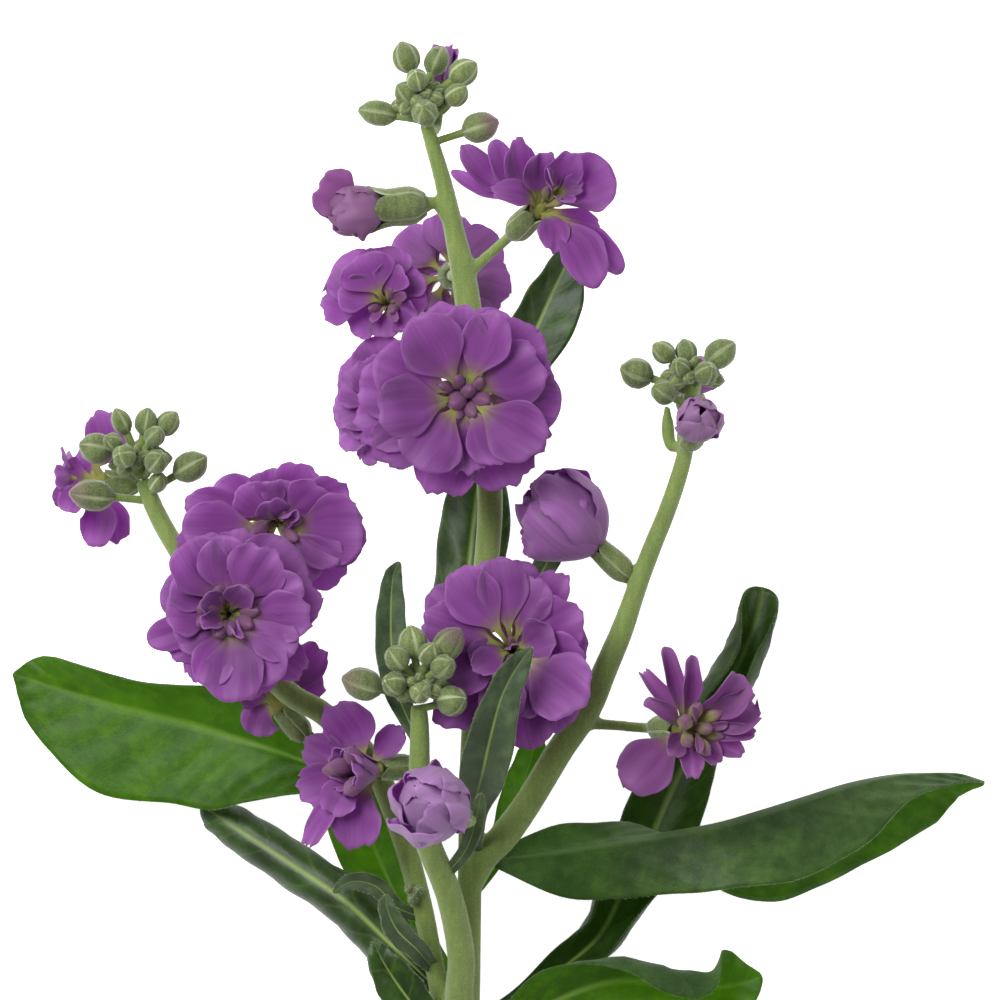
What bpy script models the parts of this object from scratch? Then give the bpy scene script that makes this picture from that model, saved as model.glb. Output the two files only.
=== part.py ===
"""Cut flower stem of double stock, laid down on a table.

The stem lies with its tip towards +Y and its flowers facing up. Positions are
millimetres: x to the right and y towards the tip, both from the middle of the
flowering part, and z up from the table. The finished pieces are metres, with
the origin on the table under the cut end.
"""

import math
from collections import namedtuple

import bmesh
import bpy
import numpy as np

# Scale and origin
MM = 0.001
FLAT_X, FLAT_Y = -6.0, -181.0

# Thicknesses, gaps and the number of facets
PETAL_THICK = 0.7
LEAF_THICK = 0.9
GAP = 0.3
STEM_SIDES = 6
STALK_SIDES = 5
BUD_SIDES = 5
LEVEL_ANGLE = 1.0
BUD_PROFILE = ((0.03, 0.42), (0.36, 1.0), (0.78, 0.8))
HUB_PROFILE = ((0.0, 0.42), (0.5, 1.0))
SMALL_PROFILE = ((0.0, 0.6), (0.55, 1.0))
CALYX_PROFILE = ((0.0, 0.6), (0.25, 1.0), (1.0, 0.95))

# Calyx and flower core
CALYX_LENGTH = 8.0
CALYX_RADIUS = 2.4
STALK_RADIUS = 1.1
CORE_RADIUS = 2.6
CORE_HEIGHT = 5.4

# Colours as (red, green, blue), roughness
STEM_GREEN = ((0.27, 0.36, 0.11), 0.65)
BUD_GREEN = ((0.20, 0.27, 0.13), 0.85)
LEAF_GREEN = ((0.07, 0.15, 0.04), 0.60)
LEAF_BRIGHT = ((0.14, 0.32, 0.03), 0.55)
PETAL_PURPLE = ((0.28, 0.09, 0.36), 0.60)
PETAL_LILAC = ((0.42, 0.20, 0.52), 0.60)


# Curves and frames

def unit(vector):
    """The vector, or each vector of an array, at length one."""
    return vector / np.linalg.norm(vector, axis=-1, keepdims=True)


def smooth(x):
    """A step from 0 to 1 with level ends."""
    x = np.clip(x, 0.0, 1.0)
    return x * x * (3.0 - 2.0 * x)


def spline(points, s):
    """Smooth curve through rows of numbers, read at s from 0 to 1."""
    rows = np.asarray(points, float)
    rows = np.vstack([2 * rows[0] - rows[1], rows, 2 * rows[-1] - rows[-2]])
    spans = len(rows) - 3
    x = np.clip(s, 0.0, 1.0) * spans
    i = np.minimum(x.astype(int), spans - 1)
    f = (x - i)[..., None]
    a, b, c, d = rows[i], rows[i + 1], rows[i + 2], rows[i + 3]
    return b + 0.5 * f * (c - a + f * (2 * a - 5 * b + 4 * c - d + f * (3 * (b - c) + d - a)))


def turned(vector, axis, angle):
    """The vector turned about a unit axis it stands square to."""
    return vector * np.cos(angle) + np.cross(axis, vector) * np.sin(angle)


def flower_frame(axis):
    """Two directions across a flower and the one it faces."""
    facing = unit(np.asarray(axis, float))
    across = np.array([1.0, 0.0, 0.0])
    across = unit(across - facing * (across @ facing))
    return across, np.cross(facing, across), facing


# Closed shapes, each a pair of vertices and triangles

def shell(grid, thick, rows, cols):
    """Closed blade around a grid of points, split alike on both faces."""
    along, over = np.gradient(grid, axis=(0, 1))
    normal = unit(np.cross(over, along))
    verts = np.concatenate([(grid + normal * thick / 2).reshape(-1, 3),
                            (grid - normal * thick / 2).reshape(-1, 3)])
    number = np.arange((rows + 1) * (cols + 1)).reshape(rows + 1, cols + 1)
    a, b = number[:-1, :-1].ravel(), number[:-1, 1:].ravel()
    c, d = number[1:, 1:].ravel(), number[1:, :-1].ravel()
    upper = np.concatenate([np.stack([a, b, c], 1), np.stack([a, c, d], 1)])
    rim = np.concatenate([number[0, :-1], number[:-1, -1], number[-1, :0:-1], number[:0:-1, 0]])
    after = np.roll(rim, -1)
    under = number.size
    sides = np.concatenate([np.stack([after, rim, rim + under], 1),
                            np.stack([after, rim + under, after + under], 1)])
    return verts, np.concatenate([upper, upper[:, ::-1] + under, sides])


def blade(stations, rows, cols, thick, tip_round, wave=(0.0, 0.0, 0.0), spread=1.0):
    """Petal or leaf on stations of place, upper face direction, left and right
    half width, left and right fold and left and right curl."""
    s = np.linspace(0.0, 1.0, rows + 1)[:, None] ** spread * np.ones(cols + 1)
    t = np.linspace(-1.0, 1.0, cols + 1)[None, :] * np.ones((rows + 1, 1))
    side = np.abs(t)
    s = s * (1.0 - tip_round * side ** 2.5 * s ** 2)
    here = spline(stations, s)
    step = 0.002
    tangent = unit(spline(stations, s + step)[..., :3] - spline(stations, s - step)[..., :3])
    up = here[..., 3:6]
    up = unit(up - tangent * np.sum(up * tangent, -1, keepdims=True))
    left = t < 0.0
    half = np.where(left, here[..., 6], here[..., 7])
    fold = np.where(left, here[..., 8], here[..., 9])
    curl = np.where(left, here[..., 10], here[..., 11])
    curl = np.where(np.abs(curl) < 0.001, 0.001, curl)
    across = half * (np.sin(fold + curl * side) - np.sin(fold)) / curl * np.sign(t)
    lift = half * (np.cos(fold) - np.cos(fold + curl * side)) / curl
    height, count, phase = wave
    lift = lift + height * side ** 2 * s * np.sin(2 * math.pi * count * s + phase * np.sign(t))
    grid = here[..., :3] + np.cross(tangent, up) * across[..., None] + up * lift[..., None]
    grid[..., 2] = np.maximum(grid[..., 2], thick * 0.3)
    verts, faces = shell(grid, thick, rows, cols)
    verts[:, 2] = np.maximum(verts[:, 2], 0.0)
    return verts, faces


def turned_body(rings, sides, tip=None):
    """Closed body on rings of centre, direction and radius, to a pointed tip or flat."""
    angle = np.arange(sides) * 2 * math.pi / sides
    verts = []
    across = None
    for centre, facing, radius in rings:
        facing = unit(np.asarray(facing, float))
        if across is None:
            across = flower_frame(facing)[0]
        across = unit(across - facing * (across @ facing))
        other = np.cross(facing, across)
        spoke = np.cos(angle)[:, None] * across + np.sin(angle)[:, None] * other
        verts.append(np.asarray(centre) + radius * spoke)
    last = rings[-1][0] if tip is None else tip
    verts = np.concatenate([*verts, [rings[0][0]], [last]])
    start, end = len(verts) - 2, len(verts) - 1
    top = (len(rings) - 1) * sides
    faces = []
    for j in range(sides):
        k = (j + 1) % sides
        faces.append((start, k, j))
        faces.append((end, top + j, top + k))
        for i in range(len(rings) - 1):
            a, b = i * sides + j, i * sides + k
            faces.append((a, b, b + sides))
            faces.append((a, b + sides, a + sides))
    return verts, np.array(faces)


def tube(points, sides, steps):
    """Tapered stalk through rows of x, y, z and radius."""
    s = np.linspace(0.0, 1.0, steps + 1)
    here = spline(points, s)
    ahead = spline(points, s + 0.01)[:, :3] - spline(points, s - 0.01)[:, :3]
    return turned_body([(row[:3], way, row[3]) for row, way in zip(here, ahead)], sides)


def ovoid(foot, axis, length, radius, sides=BUD_SIDES, profile=BUD_PROFILE, root=()):
    """Bud shape standing on its foot, or on rings of a stalk that leads to it."""
    axis = unit(np.asarray(axis, float))
    foot = np.asarray(foot, float)
    rings = [(foot + axis * length * s, axis, radius * r) for s, r in profile]
    tip = foot + axis * length
    return turned_body([*root, *rings], sides, tip)


# Petals, flowers and leaves

Petal = namedtuple("Petal", "turn length width open_from open_to rise cup tilt rows cols")
Flap = namedtuple("Flap", "tip width lift cup look rows cols", defaults=(2, 2))
Bloom = namedtuple("Bloom", "start base axis colour petals")


def ring(turns, length, width, open_from, open_to, rise=0.0, cup=0.0, tilt=0.3,
         rows=2, cols=2, seed=0):
    """Petals at the given turns in degrees, each tilted to lie on the next."""
    draw = np.random.default_rng(seed)
    petals = []
    for turn in turns:
        more = 1.0 + draw.uniform(-0.05, 0.05)
        swing = draw.uniform(-2.0, 2.0)
        petals.append(Petal(turn, length * more, width * more, open_from, open_to + swing,
                            rise, cup, tilt, rows, cols))
    return petals


def even(count, start=0.0):
    """Turns of a full ring in degrees."""
    return [start + 360.0 * n / count for n in range(count)]


def petal_widths(s, width, claw):
    """Half width along a petal: narrow claw, broad limb, rounded end."""
    limb = claw + (1.0 - claw) * smooth((s - 0.28) / 0.5)
    return 0.5 * width * limb * (1.0 - 0.42 * smooth((s - 0.7) / 0.3))


def ring_petal(bloom, petal):
    """Stations of a petal that rises as a claw and opens outwards."""
    across, other, facing = flower_frame(bloom.axis)
    turn = math.radians(petal.turn)
    radial = math.cos(turn) * across + math.sin(turn) * other
    s = np.linspace(0.0, 1.0, 9)
    if petal.open_to > petal.open_from:
        share = smooth((s - 0.08) / 0.6)
    else:
        share = s
    lean = np.radians(petal.open_from + (petal.open_to - petal.open_from) * share)
    middle = (lean[1:] + lean[:-1]) / 2
    step = petal.length / 8
    out = 0.5 + np.concatenate([[0.0], np.cumsum(np.sin(middle)) * step])
    rise = GAP + 1.2 + petal.rise + np.concatenate([[0.0], np.cumsum(np.cos(middle)) * step])
    place = np.asarray(bloom.base) + out[:, None] * radial + rise[:, None] * facing
    ahead = np.sin(lean)[:, None] * radial + np.cos(lean)[:, None] * facing
    up = -np.cos(lean)[:, None] * radial + np.sin(lean)[:, None] * facing
    up = turned(up, ahead, petal.tilt)
    half = petal_widths(s, petal.width, claw=0.11)
    level = np.zeros(len(s))
    return np.column_stack([place, up, half, half, level, level, petal.cup * s, petal.cup * s])


def flap_petal(bloom, flap):
    """Stations of a petal from the core to a tip at a place of its own."""
    facing = flower_frame(bloom.axis)[2]
    root = np.asarray(bloom.base) + facing * (GAP + 1.4)
    throat = root + facing * 2.0
    tip = np.asarray(flap.tip, float)
    middle = throat * 0.45 + tip * 0.55 + facing * flap.lift
    s = np.linspace(0.0, 1.0, 7)
    place = spline([root, throat * 0.8 + tip * 0.2, middle, tip], s)
    ahead = unit(np.gradient(place, axis=0))
    up = facing * (1.0 - flap.look) + np.array([0.0, 0.0, flap.look])
    up = unit(up - ahead * (ahead @ up)[:, None])
    half = petal_widths(s, flap.width, claw=0.22)
    level = np.zeros(len(s))
    return np.column_stack([place, up, half, half, level, level, flap.cup * s, flap.cup * s])


def petal_blade(bloom, petal):
    """Closed blade of either kind of petal."""
    make = ring_petal if isinstance(petal, Petal) else flap_petal
    return blade(make(bloom, petal), petal.rows, petal.cols, PETAL_THICK, 0.24, spread=0.7)


def flower_core(bloom):
    """Small body at the foot of the petals, just clear of the calyx."""
    facing = flower_frame(bloom.axis)[2]
    foot = np.asarray(bloom.base) + facing * GAP
    return ovoid(foot, facing, CORE_HEIGHT, CORE_RADIUS, 4, SMALL_PROFILE)


def leaf_stations(rows):
    """Stations of a leaf from rows of x, y, z, left, right, lean, folds and curls.

    The upper face looks up where the lean is 0 and down where it is 180; folds
    and curls, in degrees, bring each half towards the upper face."""
    rows = np.asarray(rows, float)
    ahead = unit(np.gradient(rows[:, :3], axis=0))
    up = np.array([0.0, 0.0, 1.0]) - ahead * ahead[:, 2:3]
    lean = np.radians(rows[:, 5])
    up = np.array([turned(unit(u), a, x) for u, a, x in zip(up, ahead, lean)])
    return np.column_stack([rows[:, :3], up, rows[:, 3:5], np.radians(rows[:, 6:10])])


# Stem and side shoots: x, y, z and radius

MAIN_STEM = [(-6.0, -186.0, 2.7, 3.4), (-6.2, -177.0, 2.9, 3.4),
             (-6.8, -160.0, 7.0, 3.3), (-7.4, -130.0, 13.8, 3.2),
             (-7.0, -105.0, 18.6, 3.0), (-6.2, -83.0, 22.6, 2.5), (-5.6, -50.0, 26.5, 2.4),
             (-3.4, -20.0, 28.0, 2.5), (-2.0, 1.0, 28.5, 2.6), (-4.4, 22.0, 29.0, 2.7),
             (-6.8, 42.0, 29.5, 2.6), (-9.2, 54.0, 30.0, 2.1), (-11.2, 63.0, 30.5, 1.8),
             (-13.2, 70.0, 31.0, 1.6), (-14.8, 75.4, 31.5, 1.4)]
RIGHT_SHOOT = [(-5.6, -77.0, 23.2, 2.2), (-3.0, -71.5, 24.5, 2.8), (1.0, -67.0, 25.5, 3.0),
               (6.0, -60.0, 27.0, 2.8), (12.0, -50.0, 29.0, 2.8), (17.6, -42.0, 30.0, 2.6),
               (21.0, -34.0, 31.0, 2.5), (24.4, -26.0, 32.0, 2.3), (27.2, -18.0, 32.5, 2.0),
               (30.2, -10.0, 33.0, 1.9), (33.6, -1.6, 33.0, 1.8), (36.4, 7.0, 33.0, 1.7),
               (37.8, 14.0, 33.0, 1.5), (38.2, 20.0, 33.0, 1.3)]
LEFT_SHOOT = [(-7.4, -124.0, 15.0, 2.0), (-10.4, -108.0, 18.0, 2.2), (-13.6, -91.0, 20.5, 2.0),
              (-16.0, -80.0, 22.0, 2.2), (-20.0, -66.0, 24.0, 2.3), (-26.0, -52.0, 26.0, 2.4),
              (-35.0, -43.0, 27.5, 2.4), (-43.0, -38.0, 28.0, 2.4), (-55.0, -25.0, 27.5, 2.2),
              (-64.8, -9.6, 27.0, 2.0), (-69.0, -2.0, 26.5, 1.9), (-71.4, 4.0, 26.5, 1.7)]
FRONT_SHOOT = [(-7.2, -114.0, 17.4, 2.2), (-8.2, -100.0, 23.0, 2.8), (-7.8, -91.0, 28.0, 2.8),
               (-10.2, -79.0, 33.0, 2.7), (-14.6, -67.6, 37.5, 2.6), (-16.0, -58.0, 40.0, 2.3),
               (-16.0, -47.0, 43.0, 2.0), (-16.2, -41.0, 44.5, 1.7)]
SHOOTS = [(MAIN_STEM, 13), (RIGHT_SHOOT, 9), (LEFT_SHOOT, 9), (FRONT_SHOOT, 7)]

# Flowers: where the stalk starts, calyx top, way it faces, colour and petals

BLOOMS = {
    "bloom_main_front": Bloom(
        (-4.6, 12.0, 30.0), (-7.4, 21.2, 41.0), (0.03, -0.06, 1.0),
        PETAL_PURPLE,
        ring([126, 78, 34, -14, -62, -108, 174], 22.5, 14.5, 12, 80, 1.8, 0.3, cols=3, seed=1)
        + ring([150, 196], 28.0, 16.5, 26, 94, 0.0, 0.2, cols=3, seed=34)
        + ring([102, 242, 284, 328, 12, 58], 25.0, 15.5, 26, 96, 0.0, 0.2, cols=3, seed=2)
        + ring(even(3, 20), 7.5, 4.5, 5, 38, 3.0, 0.9, seed=3)),
    "bloom_main_left": Bloom(
        (-6.0, 33.0, 29.0), (-21.0, 38.8, 24.0), (-0.22, 0.06, 1.0),
        PETAL_PURPLE,
        ring([205, 162, 122, 80], 16.5, 13.0, 12, 98, 1.0, 0.4, seed=4)
        + ring([182, 140, 100], 13.0, 10.0, 5, 74, 2.6, 0.7, seed=5)
        + ring([-20, -95], 8.8, 7.5, 10, 80, 0.6, 0.6, seed=6)),
    "bloom_main_back": Bloom(
        (-7.4, 46.0, 28.0), (-10.0, 45.0, 12.8), (-0.06, 0.0, -1.0),
        PETAL_PURPLE,
        ring(even(7, 15), 16.5, 12.0, 20, 84, 0.6, 0.3, seed=8)
        + ring(even(2, 40), 9.5, 6.0, 5, 40, 2.4, 0.9, seed=9)),
    "bloom_upper_right": Bloom(
        (-5.0, 45.5, 30.5), (6.6, 57.0, 35.5), (0.55, 0.5, 0.67),
        PETAL_PURPLE,
        [Flap((-7.4, 70.4, 36.0), 7.0, -2.5, 0.5, 0.7),
         Flap((-9.8, 65.8, 32.5), 4.0, -2.0, 0.6, 0.3),
         Flap((3.4, 72.6, 38.0), 10.0, -2.5, 0.6, 0.5),
         Flap((10.6, 69.2, 33.0), 8.5, -1.5, 0.4, 0.3),
         Flap((15.8, 69.4, 43.0), 7.5, 0.0, 0.8, 0.2),
         Flap((22.8, 65.4, 38.5), 13.5, 1.0, 0.4, 0.3, 2, 3),
         Flap((-1.4, 61.4, 43.0), 8.5, 1.5, 0.6, 0.2),
         Flap((12.0, 49.0, 41.0), 9.0, 1.5, 0.5, 0.4),
         Flap((21.0, 42.6, 39.5), 11.5, 2.0, 0.5, 0.6, 2, 3),
         Flap((20.8, 52.0, 34.5), 8.0, 0.0, 0.4, 0.5)]
        + ring(even(2, 10), 8.0, 4.0, 0, 32, 3.0, 1.0, seed=10)),
    "bud_opening_left": Bloom(
        (-11.6, 55.2, 30.3), (-22.6, 58.4, 33.0), (-1.0, -0.1, 0.25),
        PETAL_PURPLE,
        ring(even(4, 10), 10.0, 7.5, 62, -34, 0.0, 0.9, seed=11)
        + [Flap((-36.4, 64.0, 36.5), 11.0, 0.5, 0.2, 0.85, 2, 3)]),
    "bloom_main_side": Bloom(
        (-4.8, 14.0, 28.0), (-15.2, 19.0, 24.0), (-0.72, 0.1, 0.68),
        PETAL_PURPLE,
        ring([96, 135, 178, 220, 262], 17.2, 12.5, 15, 74, 0.6, 0.4, seed=12)
        + ring([150, 205], 13.0, 9.0, 8, 50, 2.2, 0.7, seed=13)),
    "bloom_half_open_right": Bloom(
        (26.8, -17.4, 32.6), (20.2, -10.2, 33.0), (-0.74, 0.67, 0.15),
        PETAL_LILAC,
        ring(even(5, 20), 22.0, 13.0, 60, -28, 0.4, 0.8, seed=14)
        + ring(even(2, 56), 18.0, 9.5, 26, -8, 1.6, 0.7, seed=15)
        + [Flap((4.2, -10.0, 31.0), 9.0, 2.0, 0.5, 0.6)]),
    "bloom_centre": Bloom(
        (-3.0, -39.5, 26.5), (2.4, -31.0, 31.0), (0.0, 0.12, 1.0),
        PETAL_PURPLE,
        ring([131, 98, 60, -78, -124, 168], 24.5, 14.0, 15, 84, 1.0, 0.3, seed=16)
        + ring([22, -40], 22.0, 14.0, 15, 84, 1.0, 0.3, seed=33)
        + ring([44, 205, 236, -60], 25.0, 13.5, 26, 96, 0.0, 0.2, seed=17)
        + ring([15, 120, 250], 11.0, 8.0, 5, 60, 2.8, 0.7, seed=18)),
    "bloom_left_back": Bloom(
        (-60.6, -16.4, 28.0), (-44.6, -3.0, 30.0), (0.0, -0.2, 1.0),
        PETAL_PURPLE,
        ring([172, 200, 2, -26], 24.0, 15.0, 22, 90, 0.4, 0.3, seed=19)
        + ring([132, 98, 62, 30], 15.5, 13.0, 12, 74, 1.2, 0.4, seed=20)
        + ring(even(2, 30), 9.0, 5.0, 0, 36, 2.8, 0.9, seed=21)),
    "bloom_left_front": Bloom(
        (-54.4, -25.8, 29.0), (-54.0, -22.8, 41.5), (0.0, 0.0, 1.0),
        PETAL_PURPLE,
        ring([56, 104, 150, -74], 21.0, 14.5, 12, 80, 1.6, 0.4, cols=3, seed=22)
        + ring([12, -30], 24.5, 15.0, 14, 80, 1.6, 0.4, cols=3, seed=35)
        + ring([130, 80, 178, 212], 19.5, 13.0, 24, 97, 0.0, 0.2, cols=3, seed=23)
        + ring([246, -50], 22.0, 13.5, 24, 97, 0.0, 0.2, cols=3, seed=36)
        + ring(even(3, 12), 8.5, 5.0, 5, 40, 3.0, 0.9, seed=24)),
    "bloom_left_low": Bloom(
        (-33.0, -45.2, 26.6), (-42.6, -43.4, 21.6), (-0.5, 0.55, -0.2),
        PETAL_PURPLE,
        [Flap((-35.6, -29.0, 20.0), 9.0, 0.0, 0.4, 0.8),
         Flap((-34.8, -37.0, 18.6), 8.0, 1.0, 0.4, 0.8),
         Flap((-47.0, -29.4, 18.0), 9.0, 0.0, 0.4, 0.8),
         Flap((-51.0, -36.4, 21.0), 9.0, 0.0, 0.4, 0.8),
         Flap((-48.6, -47.4, 19.4), 8.5, 1.0, 0.4, 0.8)]),
    "bloom_left_tip": Bloom(
        (-70.2, 1.0, 26.0), (-77.5, 3.6, 17.5), (-0.85, 0.1, -0.15),
        PETAL_PURPLE,
        [Flap((-81.2, 18.2, 19.0), 9.0, -2.0, 0.4, 0.9),
         Flap((-88.0, 5.4, 18.0), 8.0, 1.0, 0.5, 0.8),
         Flap((-86.5, -2.5, 23.0), 7.0, 1.0, 0.5, 0.8),
         Flap((-81.6, -10.2, 17.0), 8.0, -1.0, 0.4, 0.9),
         Flap((-77.0, -9.4, 13.0), 7.5, -1.0, 0.4, 0.9),
         Flap((-85.0, 9.6, 10.5), 8.0, -1.0, 0.4, 0.5)]),
    "bloom_front_open": Bloom(
        (-15.6, -60.0, 39.0), (-23.4, -53.6, 36.0), (-0.75, -0.05, 0.65),
        PETAL_LILAC,
        [Flap((-32.2, -38.4, 39.5), 10.0, -1.5, 0.4, 0.7),
         Flap((-18.6, -45.0, 36.2), 6.5, 0.0, 0.5, 0.7),
         Flap((-40.4, -48.0, 35.0), 9.0, 1.0, 0.5, 0.7),
         Flap((-40.6, -60.0, 35.0), 8.5, 1.0, 0.5, 0.6),
         Flap((-38.2, -70.2, 36.0), 6.0, 2.0, 0.6, 0.2, 3, 2),
         Flap((-27.6, -70.6, 38.0), 11.0, 1.5, 0.4, 0.8)]
        + ring(even(3, 15), 9.0, 6.5, 38, -5, 1.0, 1.0, seed=27)),
    "bloom_half_open_front": Bloom(
        (-14.0, -67.0, 39.6), (-9.6, -62.4, 49.5), (-0.45, 0.2, 0.85),
        PETAL_LILAC,
        ring(even(5, 0), 18.5, 11.0, 58, -38, 0.0, 0.9, seed=28)
        + ring(even(3, 36), 14.0, 8.0, 28, -14, 0.8, 0.8, seed=29)),
    "bloom_right": Bloom(
        (17.2, -45.0, 30.6), (35.0, -45.6, 35.0), (0.55, 0.0, 0.83),
        PETAL_LILAC,
        [Flap((24.2, -57.4, 36.5), 11.5, 0.0, 0.2, 0.8, 2, 3),
         Flap((31.8, -29.2, 40.5), 4.5, 0.0, 1.2, 0.3),
         Flap((38.6, -30.6, 43.0), 5.0, 0.5, 1.2, 0.3),
         Flap((27.6, -34.2, 40.0), 4.5, 0.5, 1.2, 0.3),
         Flap((51.0, -39.6, 38.0), 10.0, 2.5, 1.2, 0.2),
         Flap((48.4, -34.6, 42.5), 9.0, 2.5, 1.2, 0.2),
         Flap((51.8, -46.4, 41.0), 4.5, 0.5, 1.0, 0.4),
         Flap((49.2, -51.4, 39.0), 5.0, 0.5, 1.0, 0.5),
         Flap((42.2, -55.8, 40.5), 5.5, 0.5, 0.8, 0.5),
         Flap((36.0, -54.6, 44.0), 4.5, 0.0, 1.0, 0.4)]
        + ring(even(2, 20), 7.0, 3.5, 10, 35, 3.0, 1.0, seed=30)),
    "bud_opening_right": Bloom(
        (37.0, 9.5, 34.0), (38.4, 13.2, 38.5), (0.2, 0.5, 0.8),
        PETAL_LILAC,
        ring(even(4, 20), 8.5, 6.0, 48, -35, 0.0, 0.9, seed=31)),
    "bloom_right_tip": Bloom(
        (37.8, 14.0, 32.0), (38.4, 20.4, 24.5), (0.2, 0.5, -0.7),
        PETAL_PURPLE,
        [Flap((43.4, 22.6, 25.0), 6.5, 0.0, 0.5, 0.6),
         Flap((32.8, 22.6, 22.0), 5.5, 0.0, 0.5, 0.6),
         Flap((38.4, 27.0, 21.0), 6.5, 0.0, 0.5, 0.4)]),
    "bud_opening_top": Bloom(
        (-14.2, 72.8, 30.0), (-12.0, 82.0, 24.0), (0.1, 1.0, 0.0),
        PETAL_PURPLE,
        ring(even(4, 30), 9.0, 5.5, 30, -12, 0.0, 0.8, seed=32)),
}
SHORT_CALYX = {"bud_opening_right": 4.0, "bloom_right_tip": 4.5, "bud_opening_top": 4.5,
               "bloom_left_tip": 5.0, "bloom_left_low": 6.0, "bloom_half_open_front": 5.5}
WIDE_CALYX = {"bud_opening_left": 3.5}

# Leaves: x, y, z, left and right half width, lean, folds and curls in degrees

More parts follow.
